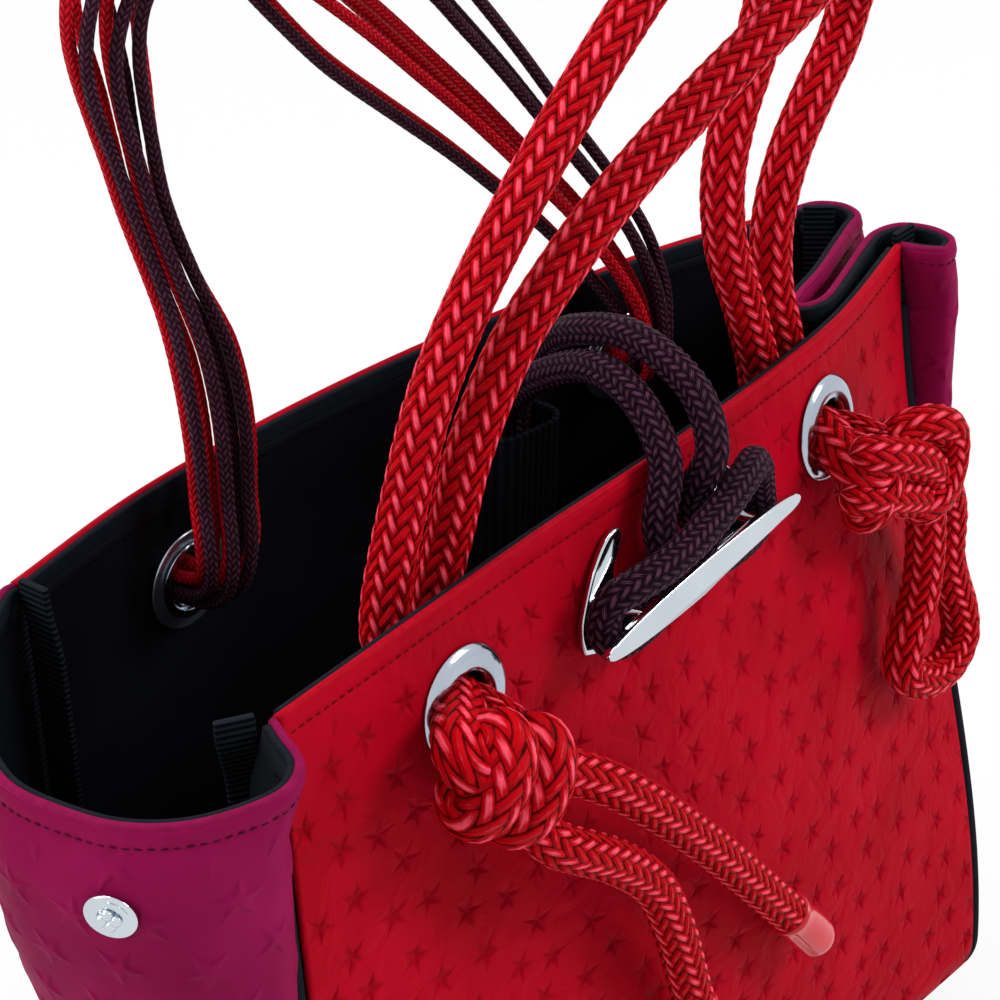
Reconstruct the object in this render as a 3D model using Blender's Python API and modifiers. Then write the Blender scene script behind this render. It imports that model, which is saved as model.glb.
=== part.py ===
"""Mini tote bag with rope handles, a snapped side gusset and a rope and cleat closure."""
import math

import bmesh
import bpy
from mathutils import Matrix, Vector

# The bag's body
BAG_WIDTH = 0.270
RIM_HEIGHT = 0.250
BASE_DEPTH = 0.100
BOTTOM_RADIUS = 0.022
CLOTH = 0.0016
LINING = 0.0010
GAP = 0.0003
LINING_GAP = 0.0006
LINING_MARGIN = 0.001
BASE_CLEARANCE = 0.0008
FACET = 0.0008

# Depth of the rim, front and rear, at stations from the left side to the right
FRONT_RIM = (-0.046, -0.0427, -0.0395, -0.038, -0.035, -0.029, -0.016)
REAR_RIM = (0.043, 0.0515, 0.0533, 0.0513, 0.0457, 0.0385, 0.024)
PANEL_BELLY = 0.007

# Rim line of each gusset from the rear seam to the front one: out from the side, and depth
SEAM_INSET = 0.0005
LEFT_FOLDS = (
    (0.0035, 0.0425), (0.022, 0.029), (0.040, 0.008), (0.052, -0.017), (0.051, -0.035), (0.047, -0.048),
    (0.039, -0.058), (0.028, -0.064), (0.016, -0.066), (0.0075, -0.061), (0.003, -0.0515),
)
RIGHT_FOLDS = (
    (0.004, 0.0232), (0.010, 0.0205), (0.0135, 0.0130), (0.0105, 0.0052), (0.002, 0.0020),
    (-0.010, -0.0024), (-0.025, -0.0079), (-0.0405, -0.0122), (-0.0468, -0.0150), (-0.0405, -0.0175),
    (-0.025, -0.0132), (-0.010, -0.0078), (0.0035, -0.0042), (0.012, -0.0072), (0.0155, -0.0165),
    (0.0125, -0.0255), (0.0055, -0.0275), (0.0015, -0.0215),
)

# How fast each gusset's folds fade towards the base
FOLD_FADE = {"left": 1.0, "right": 2.0}

# Piping and seam tape
PIPING = 0.0044
PIPING_DROP = 0.0185
TAPE_WIDTH = 0.009
TAPE_THICKNESS = 0.0018
TAPE_RISE = 0.003
TAPE_TURN_START = 0.25
TAPE_TURN_SPAN = 0.30

# Eyelets
EYELET_RADIUS = 0.0145
EYELET_BORE = 0.0077
EYELET_WALL = 0.0010
EYELET_CLEARANCE = 0.0003
EYELET_DOME = 0.0022
WASHER_RADIUS = 0.0135
WASHER_THICKNESS = 0.0008
EYELETS = {
    "front_left": ("front", -0.077, 0.2225),
    "front_right": ("front", 0.076, 0.2245),
    "rear_left": ("rear", -0.078, 0.2215),
    "rear_right": ("rear", 0.078, 0.2235),
}

# Snaps
SNAP_RADIUS = 0.006
SNAP_DROP = 0.020
SNAP_PLATE = 0.0009
SNAP_BUTTON = 0.0021
SNAP_BUTTON_HEIGHT = 0.0025
SNAP_CUP_HEIGHT = 0.0023
SNAP_POST = 0.0012
LEFT_STUD_SHARE = 0.635
LEFT_SOCKET_SHARE = 0.365
RIGHT_SNAP_OUT = -0.0275

# Cleat
CLEAT_X = -0.001
CLEAT_Z = 0.222
CLEAT_TILT = 4.5
CLEAT_PLATE = 0.002
CLEAT_SPACE = 0.0092
CLEAT_BAR = 0.0024
CLEAT_HALF_LENGTH = 0.0405
CLEAT_HALF_HEIGHT = 0.0041
POST_RADIUS = 0.003
POST_X = 0.024
SCREW_RADIUS = 0.0012
SCREW_HEAD = 0.0032
SCREW_HEAD_HEIGHT = 0.0014
BACKING_LENGTH = 0.062
BACKING_HEIGHT = 0.012
BACKING_THICKNESS = 0.0012
CLEAT_PLATE_OUTLINE = (
    (-0.0410, -0.0060), (-0.0370, -0.0020), (-0.0300, 0.0080), (-0.0240, 0.0155), (-0.0205, 0.0190),
    (-0.0195, 0.0170), (-0.0208, 0.0130), (-0.0220, 0.0090), (-0.0200, 0.0045), (-0.0155, 0.0016),
    (-0.0110, 0.0010), (-0.0060, 0.0035), (0.0000, 0.0070),
)
CLEAT_LOWER_EDGE = ((-0.0300, -0.0074), (-0.0150, -0.0084), (0.0000, -0.0086))

# Sleeve of webbing on the rear lining
SLEEVE_X = 0.025
SLEEVE_WIDTH = 0.0222
SLEEVE_STAND = 0.0222
SLEEVE_CORNER = 0.006
SLEEVE_FLANGE = 0.008
SLEEVE_WALL = 0.0016
SLEEVE_TOP = 0.228
SLEEVE_HEIGHT = 0.038

# Ropes: diameters, and routes by hand. A fourth number is the radius where a rope is squeezed.
HANDLE_ROPE = 0.0113
CLOSURE_ROPE = 0.0085
THIN_CORD = 0.0034
BEND_STEPS = 1.6
ROPE_SIDES = 2
STRAND_A = (
    (-0.081, -0.0570, 0.2215, 0.0034), (-0.081, -0.0494, 0.2225, 0.0034),
    (-0.081, -0.042, 0.2225, 0.0034), (-0.0811, -0.0355, 0.2226, 0.0034),
    (-0.0820, -0.0305, 0.2258, 0.0040), (-0.0833, -0.0275, 0.2310, 0.0050), (-0.0840, -0.0265, 0.2375),
    (-0.0828, -0.0265, 0.2465), (-0.0802, -0.027, 0.2562), (-0.0757, -0.028, 0.2702),
    (-0.0677, -0.030, 0.293), (-0.0552, -0.032, 0.3134), (-0.0396, -0.034, 0.3323),
    (-0.023, -0.035, 0.3483), (-0.0046, -0.036, 0.3639), (0.020, -0.0345, 0.3780),
    (0.0440, -0.0310, 0.3810), (0.0610, -0.0265, 0.3715), (0.0665, -0.0230, 0.3540),
    (0.0609, -0.022, 0.3329), (0.0529, -0.022, 0.3190), (0.0480, -0.022, 0.3040),
    (0.0486, -0.022, 0.2862), (0.0567, -0.022, 0.2634), (0.0632, -0.0212, 0.2450),
    (0.0658, -0.0200, 0.2375), (0.0684, -0.0197, 0.2312, 0.0046), (0.0698, -0.0215, 0.2262, 0.0038),
    (0.0709, -0.0250, 0.2240, 0.0034), (0.0716, -0.0290, 0.2240, 0.0034),
    (0.0724, -0.0330, 0.2245, 0.0034), (0.0733, -0.0408, 0.2251, 0.0034),
    (0.0736, -0.0480, 0.2245, 0.0034),
)
STRAND_B = (
    (-0.0734, -0.0570, 0.2210, 0.0034), (-0.0734, -0.0494, 0.2225, 0.0034),
    (-0.0734, -0.042, 0.2225, 0.0034), (-0.0734, -0.0355, 0.2226, 0.0034),
    (-0.0724, -0.0305, 0.2258, 0.0040), (-0.0704, -0.0275, 0.2310, 0.0050), (-0.0676, -0.0265, 0.2375),
    (-0.0648, -0.0266, 0.2450), (-0.0618, -0.027, 0.2527), (-0.0559, -0.030, 0.275),
    (-0.0441, -0.033, 0.2967), (-0.0295, -0.036, 0.3119), (-0.0102, -0.038, 0.3252),
    (0.0167, -0.040, 0.3387), (0.0406, -0.042, 0.3488), (0.0620, -0.0415, 0.3555),
    (0.0830, -0.0365, 0.3570), (0.0985, -0.0280, 0.3490), (0.1020, -0.0215, 0.3350),
    (0.0982, -0.020, 0.3233), (0.0886, -0.020, 0.3128), (0.0781, -0.020, 0.2999),
    (0.0712, -0.020, 0.2840), (0.0705, -0.020, 0.2663), (0.0758, -0.0200, 0.2450),
    (0.0780, -0.0190, 0.2370, 0.0050), (0.0784, -0.0185, 0.2312, 0.0042),
    (0.0782, -0.0203, 0.2262, 0.0036), (0.0783, -0.0245, 0.2240, 0.0034),
    (0.0790, -0.0290, 0.2240, 0.0034), (0.0798, -0.0330, 0.2245, 0.0034),
    (0.0808, -0.0408, 0.2251, 0.0034), (0.0812, -0.0480, 0.2240, 0.0034),
)
# The second number of a tail or bight point is its distance in front of the front panel
TAIL_A = (
    (-0.0720, 0.01533, 0.2080), (-0.0600, 0.01608, 0.2010), (-0.0510, 0.01708, 0.1940),
    (-0.0392, 0.01644, 0.1824), (-0.0139, 0.01244, 0.1545), (0.0079, 0.00963, 0.1281),
    (0.0246, 0.00850, 0.1070),
)
TAIL_B = (
    (-0.0770, 0.01440, 0.1990), (-0.0700, 0.01705, 0.1875), (-0.0610, 0.01779, 0.1800),
    (-0.0516, 0.01732, 0.1722), (-0.0366, 0.01521, 0.1560), (-0.0280, 0.01306, 0.1377),
    (-0.0219, 0.01078, 0.1187), (-0.0180, 0.00969, 0.1050),
)
BIGHT = (
    (0.0980, 0.01850, 0.2060), (0.1005, 0.01794, 0.1930), (0.1008, 0.01563, 0.1770),
    (0.0984, 0.01319, 0.1654), (0.0932, 0.01041, 0.1552), (0.0925, 0.00875, 0.1450),
    (0.1025, 0.00959, 0.1368), (0.1155, 0.01148, 0.1352), (0.1230, 0.01330, 0.1405),
    (0.1233, 0.01418, 0.1495), (0.1198, 0.01461, 0.1602), (0.1165, 0.01559, 0.1707),
    (0.1150, 0.01890, 0.1870), (0.1085, 0.01995, 0.2010),
)
TIP_LENGTH = 0.026
TIP_RADIUS = 0.0062

# Knots: centre, half sizes along their own axes, turn about the bag's depth in degrees
KNOTS = {
    "front_left_knot": ((-0.0795, -0.0605, 0.2100), (0.0190, 0.0105, 0.0165), 35.0),
    "front_right_knot": ((0.0840, -0.0490, 0.2120), (0.0285, 0.0080, 0.0105), 21.0),
    "rear_left_knot": ((-0.0780, 0.0690, 0.2180), (0.0130, 0.0110, 0.0120), 0.0),
    "rear_right_knot": ((0.0780, 0.0610, 0.2200), (0.0130, 0.0110, 0.0120), 0.0),
}
KNOT_GAP = 0.0005
CLOSURE_REACH = 0.002
CLOSURE_KNOT_SIZE = (0.0115, 0.0105, 0.0095)

# The closure rope: above the rim in the bag's axes, and round the cleat in the cleat's own axes
CLOSURE_OUT = (
    (0.0170, 0.024, 0.2400), (0.0120, 0.008, 0.2540), (0.0070, -0.015, 0.2650),
    (0.0020, -0.033, 0.2620), (-0.0030, -0.0440, 0.2520),
)
CLOSURE_HITCH = (
    (-0.0070, 0.0170, 0.0066), (-0.0070, 0.0080, 0.0066), (-0.0072, 0.0005, 0.0066),
    (-0.0095, -0.0055, 0.0066), (-0.0155, -0.0080, 0.0066), (-0.0240, -0.0082, 0.0066),
    (-0.0302, -0.0055, 0.0066), (-0.0330, 0.0000, 0.0066), (-0.0330, 0.0055, 0.0072),
    (-0.0310, 0.0100, 0.0095), (-0.0260, 0.0120, 0.0128), (-0.0180, 0.0128, 0.0152),
    (-0.0100, 0.0136, 0.0162), (-0.0020, 0.0148, 0.0164), (0.0060, 0.0162, 0.0163),
    (0.0140, 0.0176, 0.0154), (0.0215, 0.0182, 0.0136), (0.0275, 0.0165, 0.0108),
    (0.0310, 0.0120, 0.0086), (0.0322, 0.0060, 0.0070), (0.0320, 0.0000, 0.0066),
    (0.0295, -0.0055, 0.0066), (0.0240, -0.0082, 0.0066), (0.0160, -0.0080, 0.0066),
    (0.0098, -0.0055, 0.0066), (0.0074, 0.0005, 0.0066), (0.0070, 0.0080, 0.0066),
    (0.0065, 0.0170, 0.0066),
)
CLOSURE_BACK = (
    (0.0075, -0.0500, 0.2530), (0.0115, -0.0420, 0.2650), (0.0150, -0.0200, 0.2720),
    (0.0180, 0.0020, 0.2660), (0.0220, 0.012, 0.2590), (0.0270, 0.025, 0.2450),
)

# The rear handle: its middle line, half width of the flat bundle, and the turn of the bundle in degrees
BUNDLE_RING = 0.0049
BUNDLE_START_ANGLE = 13.0
BUNDLE_ROLL = -120.0
ROLL_START = 0.41
ROLL_SPAN = 0.18
CORD_STEP = 0.017
BEND_COST = 0.014
REAR_GUIDE = (
    (-0.0780, 0.0580, 0.2215, 0.0044, 0), (-0.0780, 0.0510, 0.2215, 0.0044, 0),
    (-0.0780, 0.0440, 0.2220, 0.0045, 0), (-0.0776, 0.0375, 0.2250, 0.0056, 0),
    (-0.0768, 0.0345, 0.2310, 0.0075, 0), (-0.0752, 0.0350, 0.2385, 0.0088, 0),
    (-0.0735, 0.037, 0.2458, 0.0090, 0), (-0.0718, 0.038, 0.2590, 0.0097, 0),
    (-0.0706, 0.040, 0.2716, 0.0098, 0), (-0.0701, 0.043, 0.2839, 0.0090, 0),
    (-0.0712, 0.047, 0.2964, 0.0064, 0), (-0.0735, 0.050, 0.3097, 0.0054, 0),
    (-0.0757, 0.052, 0.3227, 0.0056, 0), (-0.0768, 0.053, 0.3350, 0.0070, 0),
    (-0.0786, 0.053, 0.3482, 0.0092, 0), (-0.0797, 0.053, 0.3607, 0.0112, 0),
    (-0.0790, 0.052, 0.3727, 0.0128, 5), (-0.0735, 0.050, 0.3860, 0.0105, 35),
    (-0.0600, 0.050, 0.3925, 0.0080, 80), (-0.0440, 0.050, 0.3860, 0.0100, 125),
    (-0.0235, 0.051, 0.3700, 0.0160, 160), (0.0020, 0.052, 0.3480, 0.0205, 178),
    (0.0204, 0.052, 0.3291, 0.0190, 180), (0.0371, 0.050, 0.3105, 0.0165, 180),
    (0.0485, 0.044, 0.2940, 0.0140, 180), (0.0601, 0.038, 0.2770, 0.0120, 180),
    (0.0672, 0.0310, 0.2614, 0.0105, 180), (0.0725, 0.0270, 0.2470, 0.0080, 180),
    (0.0736, 0.0256, 0.2385, 0.0064, 180), (0.0745, 0.0256, 0.2310, 0.0055, 180),
    (0.0755, 0.0275, 0.2258, 0.0049, 180), (0.0766, 0.0315, 0.2232, 0.0047, 180),
    (0.0772, 0.0360, 0.2229, 0.0047, 180), (0.0777, 0.0410, 0.2233, 0.0047, 180),
    (0.0785, 0.0500, 0.2240, 0.0047, 180),
)
PLUM_SLOTS = (1, 3, 6, 7)

RED = (0.72, 0.012, 0.02)
MAGENTA = (0.55, 0.010, 0.16)
NAVY = (0.012, 0.013, 0.022)
PLUM = (0.085, 0.018, 0.045)
CHROME = (0.80, 0.81, 0.83)
TIP_RED = (0.60, 0.01, 0.02)

ARC_STEPS = 4
PANEL_COLUMNS = {"front": 8, "rear": 8}
GUSSET_COLUMNS = {"left": 18, "right": 26}

PARTS = "mini_tote_bag"
CUTTERS = "cutters"


def ease(t):
    # Smooth step from 0 to 1
    t = min(max(t, 0.0), 1.0)
    return t * t * (3.0 - 2.0 * t)


def blend(values, share):
    # Catmull-Rom curve through evenly spaced values
    last = len(values) - 1
    place = min(max(share, 0.0), 1.0) * last
    k = min(int(place), last - 1)
    t = place - k
    b = values[k]
    c = values[k + 1]
    a = values[k - 1] if k > 0 else 2.0 * b - c
    d = values[k + 2] if k + 2 <= last else 2.0 * c - b
    return 0.5 * (2.0 * b + (c - a) * t + (2.0 * a - 5.0 * b + 4.0 * c - d) * t * t
                  + (3.0 * b - a - 3.0 * c + d) * t ** 3)


def curve_through(points, per_span=12):
    # Centripetal Catmull-Rom curve; the first three numbers of a point are its place
    points = [Vector(p) for p in points]
    ends = [2.0 * points[0] - points[1]] + points + [2.0 * points[-1] - points[-2]]
    dense = []
    for a, b, c, d in zip(ends, ends[1:], ends[2:], ends[3:]):
        ta = 0.0
        tb = ta + math.sqrt((b - a).length)
        tc = tb + math.sqrt((c - b).length)
        td = tc + math.sqrt((d - c).length)
        for k in range(per_span):
            t = tb + (tc - tb) * k / per_span
            ab = ((tb - t) * a + (t - ta) * b) / (tb - ta)
            bc = ((tc - t) * b + (t - tb) * c) / (tc - tb)
            cd = ((td - t) * c + (t - tc) * d) / (td - tc)
            abc = ((tc - t) * ab + (t - ta) * bc) / (tc - ta)
            bcd = ((td - t) * bc + (t - tb) * cd) / (td - tb)
            dense.append(((tc - t) * abc + (t - tb) * bcd) / (tc - tb))
    dense.append(points[-1])
    return dense


def lengths(points):
    # Running length along a list of points
    run = [0.0]
    for a, b in zip(points, points[1:]):
        run.append(run[-1] + (b.xyz - a.xyz).length)
    return run


def spaced(dense, step):
    # Points about a step apart along a finely drawn curve, closer where it bends
    run = [0.0]
    for k in range(1, len(dense)):
        stretch = dense[k].xyz - dense[k - 1].xyz
        before = dense[k - 1].xyz - dense[max(k - 2, 0)].xyz
        bend = stretch.angle(before) if k > 1 else 0.0
        run.append(run[-1] + stretch.length + bend * BEND_STEPS * step)
    count = max(2, round(run[-1] / step))
    out = []
    k = 0
    for n in range(count + 1):
        goal = run[-1] * n / count
        while k < len(run) - 2 and run[k + 1] < goal:
            k += 1
        share = (goal - run[k]) / max(run[k + 1] - run[k], 1e-9)
        out.append(dense[k].lerp(dense[k + 1], share))
    return out


def knot_swell(way):
    # How far a knot's surface lies out in one direction, as a share of its half size
    return 1.0 - 0.05 * (1.0 + math.sin(5.0 * way.x + 4.0 * way.z) * math.cos(4.0 * way.y))


def clears(name, spot, way, radius):
    # True where a rope's end face lies just outside a knot
    centre, size, turn = KNOTS[name]
    back = Matrix.Rotation(math.radians(-turn), 3, "Y")
    side = way.orthogonal().normalized()
    other = way.cross(side)
    rim = [spot.xyz]
    for angle in even(0.0, 2 * math.pi, 8)[:-1]:
        rim.append(spot.xyz + (side * math.cos(angle) + other * math.sin(angle)) * radius)
    for place in rim:
        local = back @ (place - Vector(centre))
        unit = Vector((local.x / size[0], local.y / size[1], local.z / size[2]))
        rise = (unit.length - knot_swell(unit.normalized())) * local.length / unit.length
        if rise < KNOT_GAP:
            return False
    return True


def trimmed(dense, name):
    # The curve without its first stretch, which lies in the named knot
    k = 0
    while not clears(name, dense[k], (dense[k + 1].xyz - dense[k].xyz).normalized(), dense[k][3]):
        k += 1
    return dense[k:]


def material(name, colour, roughness, metallic=0.0):
    found = bpy.data.materials.get(name)
    if found:
        return found
    made = bpy.data.materials.new(name)
    made.use_nodes = True
    shader = made.node_tree.nodes["Principled BSDF"]
    shader.inputs["Base Color"].default_value = (*colour, 1.0)
    shader.inputs["Roughness"].default_value = roughness
    shader.inputs["Metallic"].default_value = metallic
    return made


def link(name, data, look, cutter=False):
    item = bpy.data.objects.new(name, data)
    bpy.data.collections[CUTTERS if cutter else PARTS].objects.link(item)
    if cutter:
        item.hide_render = True
        item.display_type = "WIRE"
    else:
        data.materials.append(look)
    return item


def height(v):
    # Height of a row of the shell: v 0 is the rim, 1 the top of the bottom corner's arc
    if v <= 1.0:
        return RIM_HEIGHT - v * (RIM_HEIGHT - BOTTOM_RADIUS)
    return BOTTOM_RADIUS - BOTTOM_RADIUS * math.sin((v - 1.0) * math.pi / 2)


def drop_to_row(drop):
    return drop / (RIM_HEIGHT - BOTTOM_RADIUS)


def panel(rim, sign):
    # Outer face of the front (sign -1) or rear (sign 1) panel; u runs from -1 left to 1 right
    flat = BASE_DEPTH / 2 - BOTTOM_RADIUS

    def point(u, v):
        x = u * BAG_WIDTH / 2
        if v > 1.0:
            turn = (v - 1.0) * math.pi / 2
            return Vector((x, sign * (flat + BOTTOM_RADIUS * math.cos(turn)), height(v)))
        top = blend(rim, (u + 1.0) / 2)
        belly = PANEL_BELLY * math.sin(math.pi * max(v, 0.0)) * math.cos(math.pi * u / 2)
        return Vector((x, top + (sign * BASE_DEPTH / 2 - top) * ease(v) + sign * belly, height(v)))

    return point


FRONT = panel(FRONT_RIM, -1)
REAR = panel(REAR_RIM, 1)


def seam_ramp(v):
    # 0 at the rim, 1 from just above the piping's top end downwards
    return ease(v / drop_to_row(PIPING_DROP - GAP))


def gusset(folds, side, fade):
    # Outer face of a side gusset; c runs from 0 at the rear seam to 1 at the front seam
    first = (GAP, REAR(side, 0.0).y - SEAM_INSET, 0.0)
    last = (GAP, FRONT(side, 0.0).y + SEAM_INSET, 0.0)
    dense = curve_through([first] + [(*fold, 0.0) for fold in folds] + [last], 10)
    run = lengths(dense)
    flat = BASE_DEPTH / 2 - BOTTOM_RADIUS
    edge = BOTTOM_RADIUS - PIPING - GAP

    def point(c, v):
        place = min(max(c, 0.0), 1.0) * (len(dense) - 1)
        k = min(int(place), len(dense) - 2)
        rim = dense[k].lerp(dense[k + 1], place - k)
        share = (run[k] + (run[k + 1] - run[k]) * (place - k)) / run[-1]
        down = ease(v)
        straight = dense[0].lerp(dense[-1], share)
        fold = rim - straight
        fold = Vector((fold.x * (1.0 - down), fold.y * (1.0 - down) ** fade, 0.0))
        ramp = seam_ramp(v)
        out = GAP + (PIPING + GAP) * ramp
        inset = SEAM_INSET + (PIPING / 2 - SEAM_INSET) * ramp + (PIPING / 2 + GAP) * down
        if v <= 1.0:
            rear = REAR(side, v).y - inset
            front = FRONT(side, v).y + inset
            z = height(v)
        else:
            turn = (v - 1.0) * math.pi / 2
            rear = flat + edge * math.cos(turn)
            front = -rear
            z = BOTTOM_RADIUS - edge * math.sin(turn)
        y = rear + (front - rear) * share + fold.y
        return Vector((side * (BAG_WIDTH / 2 + out + fold.x), y, z))

    return point


LEFT = gusset(LEFT_FOLDS, -1, FOLD_FADE["left"])
RIGHT = gusset(RIGHT_FOLDS, 1, FOLD_FADE["right"])

# Each surface with the sign that turns its own normal outwards
SURFACES = {"front": (FRONT, -1), "rear": (REAR, 1), "left": (LEFT, -1), "right": (RIGHT, 1)}


def slopes(point, u, v, low=0.0):
    step = 0.002
    along = point(min(u + step, 1.0), v) - point(max(u - step, low), v)
    down = point(u, min(v + step, 2.0)) - point(u, max(v - step, 0.0))
    return along, down


def outward(point, turn, u, v, low=0.0):
    along, down = slopes(point, u, v, low)
    return (along.cross(down) * turn).normalized()


def inside(point, turn, depth, low=0.0):
    # The same surface moved into the bag by a depth
    def moved(u, v):
        return point(u, v) - outward(point, turn, u, v, low) * depth

    return moved


def sheet(name, point, turn, us, vs, thickness, look, depth=0.0, offset=-1.0):
    # Cloth as an open grid on a surface, or a depth inside it, made solid away from its outer face
    nu = len(us) - 1
    nv = len(vs) - 1
    mesh = bpy.data.meshes.new(name)
    grid = bmesh.new()
    bmesh.ops.create_grid(grid, x_segments=nu, y_segments=nv, size=1.0)
    for vert in grid.verts:
        i = round((vert.co.x + 1.0) / 2 * nu)
        j = round((vert.co.y + 1.0) / 2 * nv)
        vert.co = point(us[i], vs[j])
    if turn < 0:
        bmesh.ops.reverse_faces(grid, faces=grid.faces)
    grid.normal_update()
    for vert in grid.verts:
        vert.co -= vert.normal * depth
    grid.to_mesh(mesh)
    grid.free()
    mesh.shade_smooth()
    item = link(name, mesh, look)
    solid = item.modifiers.new("thickness", "SOLIDIFY")
    solid.thickness = thickness
    solid.offset = offset
    return item


def even(low, high, count):
    return [low + (high - low) * k / count for k in range(count + 1)]


def turned(name, profile, frame, look, steps=16, closed=False):
    # A profile of (radius, height) pairs that runs down its outer side, spun about the frame's Z
    mesh = bpy.data.meshes.new(name)
    edges = [(k, k + 1) for k in range(len(profile) - 1)]
    if closed:
        edges.append((len(profile) - 1, 0))
    mesh.from_pydata([(r, 0.0, h) for r, h in profile], edges, [])
    item = link(name, mesh, look)
    spin = item.modifiers.new("turn", "SCREW")
    spin.axis = "Z"
    spin.steps = steps
    spin.render_steps = steps
    spin.use_merge_vertices = True
    spin.merge_threshold = 0.00001
    spin.use_smooth_shade = True
    item.matrix_world = frame
    return item


def drill(frame, radius, low, high):
    # Cutter along the frame's Z
    mesh = bpy.data.meshes.new("drill")
    form = bmesh.new()
    bmesh.ops.create_cone(form, cap_ends=True, segments=16, radius1=radius, radius2=radius, depth=high - low)
    bmesh.ops.translate(form, verts=form.verts, vec=(0.0, 0.0, (low + high) / 2))
    form.to_mesh(mesh)
    form.free()
    cutter = link("drill", mesh, None, cutter=True)
    cutter.matrix_world = frame
    return cutter


def cut(item, cutter, operation="DIFFERENCE"):
    change = item.modifiers.new(operation.lower(), "BOOLEAN")
    change.operation = operation
    change.solver = "EXACT"
    change.object = cutter


def tube(name, route, diameter, look):
    # A bevelled curve straight through the points, whose fourth number is the radius there
    curve = bpy.data.curves.new(name, "CURVE")
    curve.dimensions = "3D"
    curve.bevel_depth = diameter / 2
    curve.bevel_resolution = ROPE_SIDES
    curve.use_fill_caps = True
    spline = curve.splines.new("POLY")
    spline.points.add(len(route) - 1)
    for spot, place in zip(spline.points, route):
        spot.co = (place[0], place[1], place[2], 1.0)
        spot.radius = place[3] / (diameter / 2)
    return link(name, curve, look)


def cord(name, points, diameter, look, step, start=None, end=None):
    # A rope as a smooth curve through its route, cut back to the knots at its ends
    points = [p if len(p) > 3 else (*p, diameter / 2) for p in points]
    dense = curve_through(points, 30)
    if start:
        dense = trimmed(dense, start)
    if end:
        dense = trimmed(dense[::-1], end)[::-1]
    return tube(name, spaced(dense, step), diameter, look)


def flat_mesh(outline, thickness, base):
    # Filled outline as a closed mesh, base to base + thickness along Z
    curve = bpy.data.curves.new("outline", "CURVE")
    curve.dimensions = "2D"
    curve.fill_mode = "BOTH"
    curve.extrude = thickness / 2
    spline = curve.splines.new("POLY")
    spline.points.add(len(outline) - 1)
    spline.use_cyclic_u = True
    for spot, (x, y) in zip(spline.points, outline):
        spot.co = (x, y, 0.0, 1.0)
    holder = link("outline", curve, None, cutter=True)
    bpy.context.view_layer.update()
    graph = bpy.context.evaluated_depsgraph_get()
    mesh = bpy.data.meshes.new_from_object(holder.evaluated_get(graph))
    bpy.data.objects.remove(holder)
    form = bmesh.new()
    form.from_mesh(mesh)
    bmesh.ops.remove_doubles(form, verts=form.verts, dist=0.00001)
    bmesh.ops.translate(form, verts=form.verts, vec=(0.0, 0.0, base + thickness / 2))
    bmesh.ops.recalc_face_normals(form, faces=form.faces)
    form.to_mesh(mesh)
    form.free()
    return mesh


def seat(surface, u, v, radius, axis=None):
    # Frame on a surface with Z outwards, the cloth's highest place around it and the lining's lowest
    point, turn = SURFACES[surface]
    low = -1.0 if surface in PANEL_COLUMNS else 0.0
    lined = inside(point, turn, CLOTH + LINING_GAP + LINING, low)
    centre = point(u, v)
    z = axis or outward(point, turn, u, v, low)
    along, down = slopes(point, u, v, low)
    y = (-down).normalized()
    x = y.cross(z).normalized()
    y = z.cross(x)
    frame = Matrix.Translation(centre) @ Matrix((x, y, z)).transposed().to_4x4()
    scale_u = 0.004 / along.length
    scale_v = 0.004 / down.length
    rises = []
    falls = []
    for i in even(-radius, radius, 6):
        for j in even(-radius, radius, 6):
            spot = (u + i * scale_u, v + j * scale_v)
            away = point(*spot) - centre
            if away.length < radius * 1.15:
                rises.append(away.dot(z))
                falls.append((lined(*spot) - centre).dot(z))
    return frame, max(rises), min(falls) - FACET


def shell(red, magenta, navy):
    # Rows are closer near the rim, where the pieces sit, and in the bottom corner's arc
    top = drop_to_row(PIPING_DROP - GAP)
    rows = [0.0, top / 2, top, 0.14, 0.24, 0.40, 0.60, 0.80] + even(1.0, 2.0, ARC_STEPS)
    depth = CLOTH + LINING_GAP
    trim = 1.0 - 2 * LINING_MARGIN / BAG_WIDTH
    made = {}
    for name, (point, turn) in SURFACES.items():
        if name in PANEL_COLUMNS:
            cloth = f"{name}_panel"
            lining = f"{name}_lining"
            columns = even(-1.0, 1.0, PANEL_COLUMNS[name])
            lined = [max(-trim, min(trim, u)) for u in columns]
        else:
            cloth = f"{name}_gusset"
            lining = f"{name}_gusset_lining"
            columns = even(0.0, 1.0, GUSSET_COLUMNS[name])
            lined = columns
        look = red if name in PANEL_COLUMNS else magenta
        made[name] = sheet(cloth, point, turn, columns, rows, CLOTH, look)
        made[f"{name}_lining"] = sheet(lining, point, turn, lined, rows, LINING, navy, depth)
    flat = BASE_DEPTH / 2 - BOTTOM_RADIUS - BASE_CLEARANCE
    slab("base_panel", BAG_WIDTH / 2, flat, 0.0, CLOTH, red)
    slab("base_lining", BAG_WIDTH / 2 - LINING_MARGIN, flat, depth, LINING, navy)
    return made


def slab(name, half_x, half_y, base, thickness, look):
    mesh = bpy.data.meshes.new(name)
    form = bmesh.new()
    size = Matrix.Diagonal((2 * half_x, 2 * half_y, thickness, 1.0))
    bmesh.ops.create_cube(form, size=1.0, matrix=Matrix.Translation((0.0, 0.0, base + thickness / 2)) @ size)
    form.to_mesh(mesh)
    form.free()
    return link(name, mesh, look)


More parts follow.
